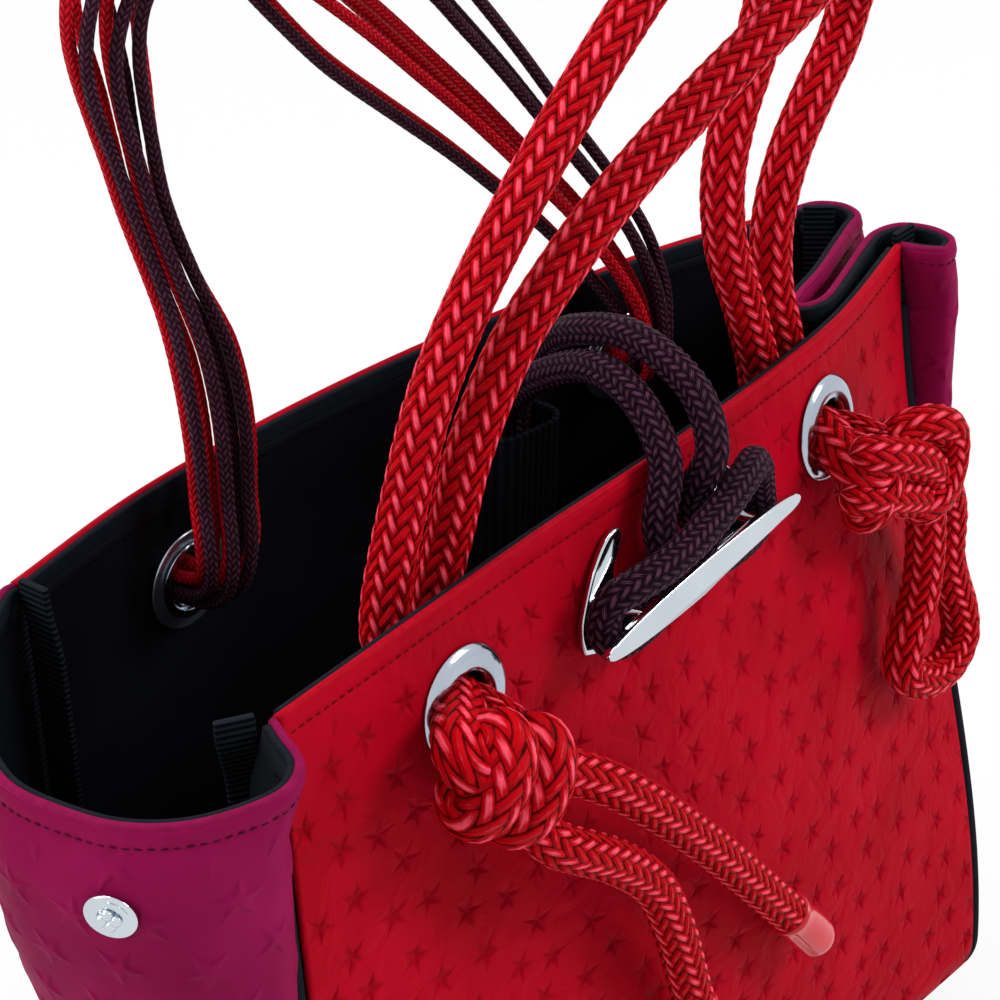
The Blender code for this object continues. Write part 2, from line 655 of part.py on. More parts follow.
def piping(side, name, look):
    # One run down the front corner, under the gusset and up the rear corner
    radius = PIPING / 2
    x = side * (BAG_WIDTH / 2 + GAP + radius)
    flat = BASE_DEPTH / 2 - BOTTOM_RADIUS
    arc = BOTTOM_RADIUS - radius
    top = drop_to_row(PIPING_DROP)
    route = []
    for rise, share in ((0.0, 0.35), (0.25, 0.75), (0.6, 0.95)):
        row = top + drop_to_row(radius * rise)
        route.append((x, FRONT(side, row).y + radius, height(row), radius * share))
    for row in even(top + drop_to_row(radius), 1.0, 8):
        route.append((x, FRONT(side, row).y + radius, height(row), radius))
    for turn in even(0.0, math.pi / 2, ARC_STEPS)[1:]:
        route.append((x, -flat - arc * math.cos(turn), BOTTOM_RADIUS - arc * math.sin(turn), radius))
    route += [(x, y, radius, radius) for y in even(-flat, flat, 4)[1:-1]]
    rear_x = [(x, -flat - arc * math.cos(turn), BOTTOM_RADIUS - arc * math.sin(turn), radius)
              for turn in even(0.0, math.pi / 2, ARC_STEPS)[1:]]
    route += [(a, -b, c, r) for a, b, c, r in reversed(rear_x)]
    for row in reversed(even(top + drop_to_row(radius), 1.0, 8)):
        route.append((x, REAR(side, row).y - radius, height(row), radius))
    for rise, share in ((0.6, 0.95), (0.25, 0.75), (0.0, 0.35)):
        row = top + drop_to_row(radius * rise)
        route.append((x, REAR(side, row).y - radius, height(row), radius * share))
    return tube(name, route, PIPING, look)


# Seam tape at each corner: root at the rim, root below the piping's top, direction at the rim
TAPES = {
    "front_left_binding": ("front", -1, (0.0044, 0.0027), (0.0003, 0.0058), (0.86, 0.50)),
    "front_right_binding": ("front", 1, (0.0008, 0.0030), (0.0006, 0.0056), (1.0, 0.0)),
    "rear_left_binding": ("rear", -1, (-0.0006, 0.0050), (-0.0006, 0.0056), (-0.30, 0.95)),
    "rear_right_binding": ("rear", 1, (0.0009, 0.0054), (0.0009, 0.0060), (0.60, 0.80)),
}
TAPE_BASE_ROOT = (-0.0006, 0.0046)


def binding(name, look):
    where, side, rim_root, low_root, rim_way = TAPES[name]
    surface = SURFACES[where][0]
    inward = -1.0 if where == "rear" else 1.0
    diagonal = Vector((-0.70, 0.70))

    def point(c, v):
        root = Vector(rim_root).lerp(Vector(low_root), seam_ramp(v)).lerp(Vector(TAPE_BASE_ROOT), ease(v))
        way = Vector(rim_way).lerp(diagonal, ease((v - TAPE_TURN_START) / TAPE_TURN_SPAN)).normalized()
        spot = root + way * TAPE_WIDTH * c
        corner = surface(side, max(v, 0.0)).y
        z = height(v)
        return Vector((side * (BAG_WIDTH / 2 + spot.x), corner + inward * spot.y, z))

    top = -drop_to_row(TAPE_RISE)
    rows = [top, 0.0, 0.04, 0.08, 0.15, 0.25, 0.35, 0.45, 0.6, 0.8, 0.99]
    return sheet(name, point, 1, [0.0, 1.0], rows, TAPE_THICKNESS, look, 0.0, 0.0)


def panel_spot(x, z):
    # Column and row of a place on the front or rear panel
    return x / (BAG_WIDTH / 2), (RIM_HEIGHT - z) / (RIM_HEIGHT - BOTTOM_RADIUS)


def hung(route):
    # A route in front of the front panel
    out = []
    for x, away, z in route:
        out.append((x, FRONT(*panel_spot(x, z)).y - away, z))
    return out


def eyelet(name, made, look):
    surface, x, z = EYELETS[name]
    u, v = panel_spot(x, z)
    frame, high, low = seat(surface, u, v, EYELET_RADIUS)
    barrel = EYELET_BORE + EYELET_WALL
    bottom = low - GAP
    back = bottom - WASHER_THICKNESS
    face = high + GAP
    profile = [
        (EYELET_BORE, face + 0.0011), (EYELET_BORE + 0.0012, face + 0.0019),
        (EYELET_BORE + 0.0035, face + EYELET_DOME), (EYELET_RADIUS - 0.0016, face + 0.0017),
        (EYELET_RADIUS, face + 0.0006), (EYELET_RADIUS - 0.0003, face), (barrel, face),
        (barrel, back - GAP), (barrel + 0.0016, back - GAP), (barrel + 0.0018, back - 0.0009),
        (barrel + 0.0002, back - 0.0014), (EYELET_BORE, back - 0.0008),
    ]
    turned(f"{name}_eyelet", profile, frame, look, closed=True)
    bore = barrel + EYELET_CLEARANCE
    ring = [(bore, bottom), (WASHER_RADIUS, bottom), (WASHER_RADIUS, back), (bore, back)]
    turned(f"{name}_eyelet_washer", ring, frame, look, closed=True)
    hole = drill(frame, bore, back - 0.004, face + 0.004)
    cut(made[surface], hole)
    cut(made[f"{surface}_lining"], hole)


def snap_half(name, kind, frame, high, low, made, side, look):
    # Stud or socket on the outer face, and its cap with a post on the lining side
    base = high + GAP + FACET / 4
    plate = base + SNAP_PLATE
    if kind == "stud":
        profile = [
            (0.0, base + SNAP_BUTTON_HEIGHT), (SNAP_BUTTON - 0.0005, base + SNAP_BUTTON_HEIGHT),
            (SNAP_BUTTON, base + SNAP_BUTTON_HEIGHT - 0.0005), (SNAP_BUTTON - 0.0003, plate),
            (SNAP_RADIUS - 0.0014, plate), (SNAP_RADIUS - 0.0008, plate + 0.0002),
            (SNAP_RADIUS, plate - 0.0003), (SNAP_RADIUS, base), (0.0, base),
        ]
    else:
        cup = SNAP_BUTTON + GAP
        rise = base + SNAP_CUP_HEIGHT
        profile = [
            (0.0, plate - 0.0003), (cup, plate - 0.0003), (cup, rise - 0.0003), (cup + 0.0004, rise),
            (cup + 0.0016, rise), (cup + 0.0021, plate + 0.0002), (SNAP_RADIUS, plate - 0.0003),
            (SNAP_RADIUS, base), (0.0, base),
        ]
    turned(f"{name}_snap_{kind}", profile, frame, look, 12)
    back = low - GAP
    cap = [
        (0.0, 0.0), (SNAP_POST, 0.0), (SNAP_POST, back), (SNAP_RADIUS, back), (SNAP_RADIUS, back - 0.0006),
        (SNAP_RADIUS - 0.0012, back - 0.0014), (0.0, back - 0.0016),
    ]
    turned(f"{name}_snap_{kind}_cap", cap, frame, look, 12)
    hole = drill(frame, SNAP_POST + GAP, back - 0.0005, base + 0.0005)
    cut(made[side], hole)
    cut(made[f"{side}_lining"], hole)


def column_at_share(point, row, share):
    # Column whose place along the gusset's row is a share of the row's length
    columns = even(0.0, 1.0, 200)
    run = lengths([point(c, row) for c in columns])
    return min(columns, key=lambda c: abs(run[round(c * 200)] - share * run[-1]))


def snaps(made, look):
    row = drop_to_row(SNAP_DROP)
    for kind, share in (("stud", LEFT_STUD_SHARE), ("socket", LEFT_SOCKET_SHARE)):
        c = column_at_share(LEFT, row, share)
        frame, high, low = seat("left", c, row, SNAP_RADIUS)
        snap_half("left", kind, frame, high, low, made, "left", look)
    # On the right the two halves meet in the folded-in valley
    columns = even(0.0, 1.0, 400)
    x = BAG_WIDTH / 2 + RIGHT_SNAP_OUT
    tip = min(columns, key=lambda c: RIGHT(c, row).x)
    rear = min((c for c in columns if c < tip), key=lambda c: abs(RIGHT(c, row).x - x))
    front = min((c for c in columns if c > tip), key=lambda c: abs(RIGHT(c, row).x - x))
    axis = (outward(RIGHT, 1, front, row) - outward(RIGHT, 1, rear, row)).normalized()
    near, near_high, near_low = seat("right", front, row, SNAP_RADIUS, axis)
    far, far_high, far_low = seat("right", rear, row, SNAP_RADIUS, -axis)
    space = (far.translation - near.translation).dot(axis)
    opposite = near @ Matrix.Translation((0.0, 0.0, space)) @ Matrix.Rotation(math.pi, 4, "X")
    snap_half("right", "stud", near, near_high, near_low, made, "right", look)
    snap_half("right", "socket", opposite, far_high, far_low, made, "right", look)


def cleat_frame():
    u, v = panel_spot(CLEAT_X, CLEAT_Z)
    frame, high, low = seat("front", u, v, CLEAT_PLATE_OUTLINE[4][1])
    tilt = Matrix.Rotation(math.radians(CLEAT_TILT), 4, "Z")
    return frame @ tilt @ Matrix.Translation((0.0, 0.0, high + GAP)), high, low


def cleat(made, look, dark):
    # Plate, two posts and a bar in one casting, held by two screws through a backing plate
    frame, high, low = cleat_frame()
    left = list(CLEAT_PLATE_OUTLINE)
    right = [(-x, y) for x, y in reversed(left[:-1])]
    lower = [(-x, y) for x, y in CLEAT_LOWER_EDGE[:-1]] + list(reversed(CLEAT_LOWER_EDGE))
    plate = flat_mesh(left + right + lower, CLEAT_PLATE, 0.0)
    body = link("cleat", plate, look)
    body.matrix_world = frame
    bar_base = CLEAT_PLATE + CLEAT_SPACE
    edge = []
    for turn in even(0.0, 2 * math.pi, 28)[:-1]:
        x = math.cos(turn)
        y = math.sin(turn)
        edge.append((CLEAT_HALF_LENGTH * x, CLEAT_HALF_HEIGHT * math.copysign(abs(y) ** 0.8, y)))
    bar = link("cleat_bar", flat_mesh(edge, CLEAT_BAR, bar_base), None, cutter=True)
    bar.matrix_world = frame
    cut(body, bar, "UNION")
    sink = 0.0004
    for side in (-1, 1):
        spot = frame @ Matrix.Translation((side * POST_X, 0.0, 0.0))
        cut(body, drill(spot, POST_RADIUS, CLEAT_PLATE - sink, bar_base + sink), "UNION")
    for side in (-1, 1):
        spot = frame @ Matrix.Translation((side * POST_X, 0.0, 0.0))
        depth = CLEAT_PLATE + CLEAT_SPACE / 2
        cut(body, drill(spot, SCREW_RADIUS + GAP, -0.001, depth))
        # The backing plate lies on the lining, lower than the lining's lowest place under it
        inner = low - high - 2 * GAP
        head = inner - BACKING_THICKNESS - GAP
        screw = [
            (0.0, depth - 2 * GAP), (SCREW_RADIUS, depth - 2 * GAP), (SCREW_RADIUS, head), (SCREW_HEAD, head),
            (SCREW_HEAD, head - SCREW_HEAD_HEIGHT / 2), (SCREW_HEAD / 2, head - SCREW_HEAD_HEIGHT),
            (0.0, head - SCREW_HEAD_HEIGHT),
        ]
        turned(f"cleat_screw_{'left' if side < 0 else 'right'}", screw, spot, look, 12)
        hole = drill(spot, SCREW_RADIUS + 2 * GAP, head, 0.0005)
        cut(made["front"], hole)
        cut(made["front_lining"], hole)
    half = BACKING_LENGTH / 2
    corner = BACKING_HEIGHT / 2
    outline = []
    for centre, start in ((half - corner, -math.pi / 2), (corner - half, math.pi / 2)):
        for turn in even(start, start + math.pi, 8):
            outline.append((centre + corner * math.cos(turn), corner * math.sin(turn)))
    flat = flat_mesh(outline, BACKING_THICKNESS, inner - BACKING_THICKNESS)
    backing = link("cleat_backing_plate", flat, dark)
    backing.matrix_world = frame
    for side in (-1, 1):
        spot = frame @ Matrix.Translation((side * POST_X, 0.0, 0.0))
        cut(backing, drill(spot, SCREW_RADIUS + GAP, inner - 2 * BACKING_THICKNESS, inner + 0.001))


def sleeve(look):
    # A tunnel of webbing whose two flanges are sewn to the rear lining
    half = SLEEVE_WIDTH / 2
    stand = SLEEVE_STAND
    corner = SLEEVE_CORNER
    plan = [(-half - SLEEVE_FLANGE, 0.0), (-half - 0.003, 0.0), (-half - 0.0006, 0.0010), (-half, 0.0040)]
    for turn in even(math.pi, math.pi / 2, 4):
        plan.append((-half + corner + corner * math.cos(turn), stand - corner + corner * math.sin(turn)))
    plan += [(-x, y) for x, y in reversed(plan)]
    count = len(plan) - 1
    lined = inside(REAR, 1, CLOTH + LINING_GAP + LINING + FACET, -1.0)

    def point(c, v):
        place = c * count
        k = min(int(place), count - 1)
        x = plan[k][0] + (plan[k + 1][0] - plan[k][0]) * (place - k)
        rise = plan[k][1] + (plan[k + 1][1] - plan[k][1]) * (place - k)
        spot = lined((SLEEVE_X + x) / (BAG_WIDTH / 2), v)
        return Vector((spot.x, spot.y - rise, spot.z))

    top = drop_to_row(RIM_HEIGHT - SLEEVE_TOP)
    rows = even(top, top + drop_to_row(SLEEVE_HEIGHT), 4)
    return sheet("closure_sleeve", point, 1, even(0.0, 1.0, count), rows, SLEEVE_WALL, look)


def knot(name, centre, size, turn, look):
    # The closed outer shape of a knot: a lumpy ball
    mesh = bpy.data.meshes.new(name)
    form = bmesh.new()
    bmesh.ops.create_icosphere(form, subdivisions=3, radius=1.0)
    for vert in form.verts:
        swell = knot_swell(vert.co)
        vert.co = Vector((vert.co.x * size[0], vert.co.y * size[1], vert.co.z * size[2])) * swell
    form.to_mesh(mesh)
    form.free()
    mesh.shade_smooth()
    item = link(name, mesh, look)
    item.location = centre
    item.rotation_euler = (0.0, math.radians(turn), 0.0)
    return item


def tip(name, route, look):
    # A plastic rope end with a round nose, in line with the rope's last stretch
    dense = curve_through(route)
    end = dense[-1].xyz
    way = (dense[-1].xyz - dense[-3].xyz).normalized()
    frame = Matrix.Translation(end + way * GAP) @ way.to_track_quat("Z", "Y").to_matrix().to_4x4()
    nose = TIP_RADIUS * 1.1
    profile = [(0.0, TIP_LENGTH)]
    for turn in even(math.pi / 2, 0.0, 5)[1:]:
        profile.append((TIP_RADIUS * math.cos(turn), TIP_LENGTH - nose + nose * math.sin(turn)))
    profile += [(TIP_RADIUS * 0.98, 0.0), (0.0, 0.0)]
    return turned(name, profile, frame, look, 16)


def front_handle(rope, plastic):
    step = 1.9 * HANDLE_ROPE
    left = "front_left_knot"
    right = "front_right_knot"
    cord("front_rope_strand_a", STRAND_A, HANDLE_ROPE, rope, step, left, right)
    cord("front_rope_strand_b", STRAND_B, HANDLE_ROPE, rope, step, left, right)
    cord("front_rope_bight", hung(BIGHT), HANDLE_ROPE, rope, 1.2 * HANDLE_ROPE, right, right)
    for letter, route in (("a", hung(TAIL_A)), ("b", hung(TAIL_B))):
        cord(f"front_rope_tail_{letter}", route, HANDLE_ROPE, rope, 1.5 * HANDLE_ROPE, left)
        tip(f"front_rope_tip_{letter}", route, plastic)


def rear_handle(red, plum):
    # Eight cords side by side: one in the middle and seven on a ring, squeezed or spread along the way.
    # Over the top of the handle the ring rolls, so other cords come to the front
    guide = curve_through([Vector(p[:3]) for p in REAR_GUIDE], 6)
    widths = [p[3] for p in REAR_GUIDE]
    turns = [math.radians(p[4]) for p in REAR_GUIDE]
    last = len(guide) - 1
    slots = {4: (0.0, 0.0)}
    for number, place in zip((8, 6, 3, 1, 2, 5, 7), range(7)):
        angle = math.radians(BUNDLE_START_ANGLE) + place * 2 * math.pi / 7
        slots[number] = (1.0, angle)
    across = Vector((1.0, 0.0, 0.0))
    frames = []
    for k, spot in enumerate(guide):
        way = (guide[min(k + 1, last)] - guide[max(k - 1, 0)]).normalized()
        across = (across - way * across.dot(way)).normalized()
        frames.append((spot, way, across.copy(), way.cross(across) * -1.0))
    # Points are closer where the handle bends; all eight cords take theirs at the same places
    picks = [0]
    spent = 0.0
    for k in range(1, last):
        bend = frames[k][1].angle(frames[k - 1][1])
        spent += (guide[k] - guide[k - 1]).length + bend * BEND_COST
        if spent > CORD_STEP:
            picks.append(k)
            spent = 0.0
    picks.append(last)
    for number, (reach, angle) in sorted(slots.items()):
        route = []
        for k in picks:
            spot, way, side, rear = frames[k]
            share = k / last
            spin = angle + math.radians(BUNDLE_ROLL) * ease((share - ROLL_START) / ROLL_SPAN)
            wide = reach * math.cos(spin) * max(blend(widths, share), BUNDLE_RING)
            deep = reach * math.sin(spin) * BUNDLE_RING
            turn = blend(turns, share)
            i = wide * math.cos(turn) - deep * math.sin(turn)
            j = wide * math.sin(turn) + deep * math.cos(turn)
            route.append((*(spot + side * i + rear * j), THIN_CORD / 2))
        tube(f"rear_cord_{number}", route, THIN_CORD, plum if number in PLUM_SLOTS else red)


def closure(rope):
    frame = cleat_frame()[0]
    half = SLEEVE_WIDTH / 2 - SLEEVE_WALL - CLOSURE_ROPE / 2 - GAP
    middle = REAR(SLEEVE_X / (BAG_WIDTH / 2), drop_to_row(RIM_HEIGHT - SLEEVE_TOP)).y - 0.015
    rise = SLEEVE_HEIGHT + CLOSURE_REACH
    low = SLEEVE_TOP - rise
    pair = [SLEEVE_X - half, SLEEVE_X + half]
    down = [[(x, middle, z) for z in (low, low + 0.375 * rise, low + 0.7 * rise, SLEEVE_TOP)] for x in pair]
    hitch = [tuple(frame @ Vector(p)) for p in CLOSURE_HITCH]
    route = down[0] + list(CLOSURE_OUT) + hitch + list(CLOSURE_BACK) + list(reversed(down[1]))
    cord("closure_rope", route, CLOSURE_ROPE, rope, 1.5 * CLOSURE_ROPE)
    size = CLOSURE_KNOT_SIZE
    knot("closure_rope_knot", (SLEEVE_X, middle, low - GAP - size[2]), size, 0.0, rope)


def main():
    for item in list(bpy.data.objects):
        bpy.data.objects.remove(item, do_unlink=True)
    for name in (PARTS, CUTTERS):
        group = bpy.data.collections.new(name)
        bpy.context.scene.collection.children.link(group)
    red = material("red_cloth", RED, 0.55)
    magenta = material("magenta_cloth", MAGENTA, 0.55)
    navy = material("navy_lining", NAVY, 0.7)
    tape = material("navy_tape", NAVY, 0.8)
    chrome = material("chrome", CHROME, 0.12, 1.0)
    handle = material("red_rope", RED, 0.45)
    plum = material("plum_rope", PLUM, 0.5)
    plastic = material("red_plastic", TIP_RED, 0.2)
    made = shell(red, magenta, navy)
    for side, name in ((-1, "left_piping"), (1, "right_piping")):
        piping(side, name, tape)
    for name in TAPES:
        binding(name, tape)
    for name in EYELETS:
        eyelet(name, made, chrome)
    snaps(made, chrome)
    cleat(made, chrome, tape)
    sleeve(tape)
    closure(plum)
    front_handle(handle, plastic)
    rear_handle(handle, plum)
    for name, (centre, size, turn) in KNOTS.items():
        knot(name, centre, size, turn, handle)


main()
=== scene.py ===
import math

import bmesh
import bpy
import numpy as np
from mathutils import Matrix, Vector


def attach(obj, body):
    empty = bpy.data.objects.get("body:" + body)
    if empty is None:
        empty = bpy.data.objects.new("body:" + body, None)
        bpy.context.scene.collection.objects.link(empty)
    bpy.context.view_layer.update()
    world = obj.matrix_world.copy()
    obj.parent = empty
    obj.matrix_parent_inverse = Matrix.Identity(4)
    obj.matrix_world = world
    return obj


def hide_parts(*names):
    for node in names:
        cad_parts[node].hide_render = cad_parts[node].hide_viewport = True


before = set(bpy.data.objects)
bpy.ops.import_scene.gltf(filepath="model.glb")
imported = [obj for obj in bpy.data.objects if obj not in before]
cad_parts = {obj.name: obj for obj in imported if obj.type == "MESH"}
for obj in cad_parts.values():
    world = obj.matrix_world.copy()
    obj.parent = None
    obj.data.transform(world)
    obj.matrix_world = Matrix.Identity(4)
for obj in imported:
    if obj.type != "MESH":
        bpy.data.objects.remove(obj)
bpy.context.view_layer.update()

print("frame loaded")


def linked(name, data):
    # A new object in the scene
    item = bpy.data.objects.new(name, data)
    bpy.context.scene.collection.objects.link(item)
    return item


def frameAt(place, x, y, z):
    # Matrix with its origin at the place and its axes along three directions
    return Matrix.Translation(place) @ Matrix((x, y, z)).transposed().to_4x4()


# Camera
shot = {"place": (-0.46058, -0.42284, 0.58831), "azimuth": -46.4866, "elevation": 30.0988, "roll": -3.0142,
        "focalPixels": 2826.24, "imagePixels": 1000, "sensor": 36.0}


def setCamera():
    around, rise, roll = (math.radians(shot[k]) for k in ("azimuth", "elevation", "roll"))
    back = Vector((math.sin(around) * math.cos(rise), -math.cos(around) * math.cos(rise), math.sin(rise)))
    right = (-back).cross(Vector((0, 0, 1))).normalized()
    up = right.cross(-back)
    right, up = right * math.cos(roll) + up * math.sin(roll), up * math.cos(roll) - right * math.sin(roll)
    data = bpy.data.cameras.new("photoCamera")
    data.sensor_width = shot["sensor"]
    data.lens = shot["sensor"] * shot["focalPixels"] / shot["imagePixels"]
    camera = linked("photoCamera", data)
    camera.matrix_world = frameAt(shot["place"], right, up, back)
    bpy.context.scene.camera = camera


setCamera()
print("camera set")


# Curves and surfaces of the bag, as the model has them
bag = {"width": 0.27, "rim": 0.25, "depth": 0.1, "corner": 0.022, "belly": 0.007,
       "cloth": 0.0016, "lining": 0.001, "liningGap": 0.0006, "gap": 0.0003,
       "frontRim": (-0.046, -0.0427, -0.0395, -0.038, -0.035, -0.029, -0.016),
       "rearRim": (0.043, 0.0515, 0.0533, 0.0513, 0.0457, 0.0385, 0.024),
       "piping": 0.0044, "pipingDrop": 0.0185, "seamInset": 0.0005}
leftFolds = (
    (0.0035, 0.0425), (0.022, 0.029), (0.04, 0.008), (0.052, -0.017), (0.051, -0.035), (0.047, -0.048),
    (0.039, -0.058), (0.028, -0.064), (0.016, -0.066), (0.0075, -0.061), (0.003, -0.0515),
)
rightFolds = (
    (0.004, 0.0232), (0.01, 0.0205), (0.0135, 0.013), (0.0105, 0.0052), (0.002, 0.002),
    (-0.01, -0.0024), (-0.025, -0.0079), (-0.0405, -0.0122), (-0.0468, -0.015), (-0.0405, -0.0175),
    (-0.025, -0.0132), (-0.01, -0.0078), (0.0035, -0.0042), (0.012, -0.0072), (0.0155, -0.0165),
    (0.0125, -0.0255), (0.0055, -0.0275), (0.0015, -0.0215),
)
halfWidth = bag["width"] / 2
flatHalf = bag["depth"] / 2 - bag["corner"]
sideHeight = bag["rim"] - bag["corner"]


def ease(t):
    t = np.minimum(np.maximum(t, 0.0), 1.0)
    return t * t * (3 - 2 * t)


def through(values, share):
    # Smooth curve through evenly spaced values
    values = np.asarray(values, float)
    ends = np.concatenate([[2 * values[0] - values[1]], values, [2 * values[-1] - values[-2]]])
    place = np.clip(share, 0.0, 1.0) * (len(values) - 1)
    k = np.minimum(place.astype(int), len(values) - 2)
    t = place - k
    a, b, c, d = (ends[k + n] for n in range(4))
    square, cube = 2 * a - 5 * b + 4 * c - d, 3 * b - a - 3 * c + d
    return 0.5 * (2 * b + (c - a) * t + square * t * t + cube * t ** 3)


def curveThrough(points, perSpan=12):
    # Smooth curve through given points, which may carry a radius as a fourth number
    points = [np.asarray(p, float) for p in points]
    ends = [2 * points[0] - points[1]] + points + [2 * points[-1] - points[-2]]
    dense = []
    for a, b, c, d in zip(ends, ends[1:], ends[2:], ends[3:]):
        ta = 0.0
        tb = ta + math.sqrt(np.linalg.norm(b - a))
        tc = tb + math.sqrt(np.linalg.norm(c - b))
        td = tc + math.sqrt(np.linalg.norm(d - c))
        for k in range(perSpan):
            t = tb + (tc - tb) * k / perSpan
            ab = ((tb - t) * a + (t - ta) * b) / (tb - ta)
            bc = ((tc - t) * b + (t - tb) * c) / (tc - tb)
            cd = ((td - t) * c + (t - tc) * d) / (td - tc)
            abc = ((tc - t) * ab + (t - ta) * bc) / (tc - ta)
            bcd = ((td - t) * bc + (t - tb) * cd) / (td - tb)
            dense.append(((tc - t) * abc + (t - tb) * bcd) / (tc - tb))
    dense.append(points[-1])
    return np.array(dense)


def runOf(points):
    # Running length along the points
    steps = np.linalg.norm(np.diff(points[:, :3], axis=0), axis=1)
    return np.concatenate([[0.0], np.cumsum(steps)])


def resampled(points, step):
    run = runOf(points)
    count = max(2, round(run[-1] / step))
    goals = np.linspace(0.0, run[-1], count + 1)
    return np.stack([np.interp(goals, run, points[:, k]) for k in range(points.shape[1])], -1)


def cornerTurn(v):
    # Turn round the bottom corner, from 0 above it to a quarter on the base
    return (np.maximum(v, 1.0) - 1.0) * math.pi / 2


def heightAt(v):
    arc = bag["corner"] - bag["corner"] * np.sin(cornerTurn(v))
    return np.where(v <= 1.0, bag["rim"] - v * sideHeight, arc)


def rowAt(drop):
    return drop / sideHeight


def panelSurface(rim, sign):
    # u runs from -1 left to 1 right; v is 0 at the rim, 1 above the bottom corner, 2 on the base
    def point(u, v):
        u, v = np.broadcast_arrays(np.asarray(u, float), np.asarray(v, float))
        top = through(rim, (u + 1) / 2)
        belly = bag["belly"] * np.sin(math.pi * np.clip(v, 0, 1)) * np.cos(math.pi * u / 2)
        side = top + (sign * bag["depth"] / 2 - top) * ease(v) + sign * belly
        y = np.where(v > 1.0, sign * (flatHalf + bag["corner"] * np.cos(cornerTurn(v))), side)
        return np.stack([u * halfWidth, y, heightAt(v)], -1)
    return point


front = panelSurface(bag["frontRim"], -1)
rear = panelSurface(bag["rearRim"], 1)


def seamRamp(v):
    return ease(v / rowAt(bag["pipingDrop"] - bag["gap"]))


def gussetSurface(folds, side, fade):
    # c runs from 0 at the rear seam to 1 at the front seam
    first = (bag["gap"], rear(side, 0.0)[1] - bag["seamInset"], 0.0)
    last = (bag["gap"], front(side, 0.0)[1] + bag["seamInset"], 0.0)
    dense = curveThrough([first] + [(*fold, 0.0) for fold in folds] + [last], 10)[:, :2]
    run = runOf(dense)
    edge = bag["corner"] - bag["piping"] - bag["gap"]

    def point(c, v):
        c, v = np.broadcast_arrays(np.asarray(c, float), np.asarray(v, float))
        place = np.clip(c, 0, 1) * (len(dense) - 1)
        k = np.minimum(place.astype(int), len(dense) - 2)
        t = (place - k)[..., None]
        rim = dense[k] * (1 - t) + dense[k + 1] * t
        share = (run[k] + (run[k + 1] - run[k]) * t[..., 0]) / run[-1]
        down = ease(v)
        fold = rim - (dense[0] + (dense[-1] - dense[0]) * share[..., None])
        ramp = seamRamp(v)
        out = bag["gap"] + (bag["piping"] + bag["gap"]) * ramp
        inset = bag["seamInset"] + (bag["piping"] / 2 - bag["seamInset"]) * ramp
        inset = inset + (bag["piping"] / 2 + bag["gap"]) * down
        turn, low = cornerTurn(v), v > 1.0
        wall, curl = np.minimum(v, 1.0), flatHalf + edge * np.cos(turn)
        rearY = np.where(low, curl, rear(side, wall)[..., 1] - inset)
        frontY = np.where(low, -curl, front(side, wall)[..., 1] + inset)
        z = np.where(low, bag["corner"] - edge * np.sin(turn), heightAt(v))
        x = side * (halfWidth + out + fold[..., 0] * (1 - down))
        y = rearY + (frontY - rearY) * share + fold[..., 1] * (1 - down) ** fade
        return np.stack([x, y, z], -1)
    return point


# Surface, the sign that turns its normal outwards, and its first column
sides = {"front": (front, -1, -1.0), "rear": (rear, 1, -1.0),
         "left": (gussetSurface(leftFolds, -1, 1.0), -1, 0.0),
         "right": (gussetSurface(rightFolds, 1, 2.0), 1, 0.0)}
# Which way each gusset lies along X
sideOf = {"left": -1, "right": 1}
# Step of u and v over which a direction on a surface is measured
uvStep = 0.002


def outward(where, u, v):
    point, turn, low = sides[where]
    u, v = np.broadcast_arrays(np.asarray(u, float), np.asarray(v, float))
    along = point(np.minimum(u + uvStep, 1), v) - point(np.maximum(u - uvStep, low), v)
    down = point(u, np.minimum(v + uvStep, 2)) - point(u, np.maximum(v - uvStep, 0))
    normal = np.cross(along, down) * turn
    return normal / np.linalg.norm(normal, axis=-1, keepdims=True)


def inside(where, depth):
    def moved(u, v):
        return sides[where][0](u, v) - outward(where, u, v) * depth
    return moved


# Meshes
def meshFrom(form, name):
    mesh = bpy.data.meshes.new(name)
    form.to_mesh(mesh)
    form.free()
    return mesh


def finish(name, mesh, look, slot, *nodes):
    # Put a finished mesh in the scene on the root body, in place of its nodes
    mesh.materials.clear()
    mesh.materials.append(look)
    mesh.shade_smooth()
    item = linked(name, mesh)
    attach(item, "root")
    if nodes:
        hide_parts(*nodes)
    return item


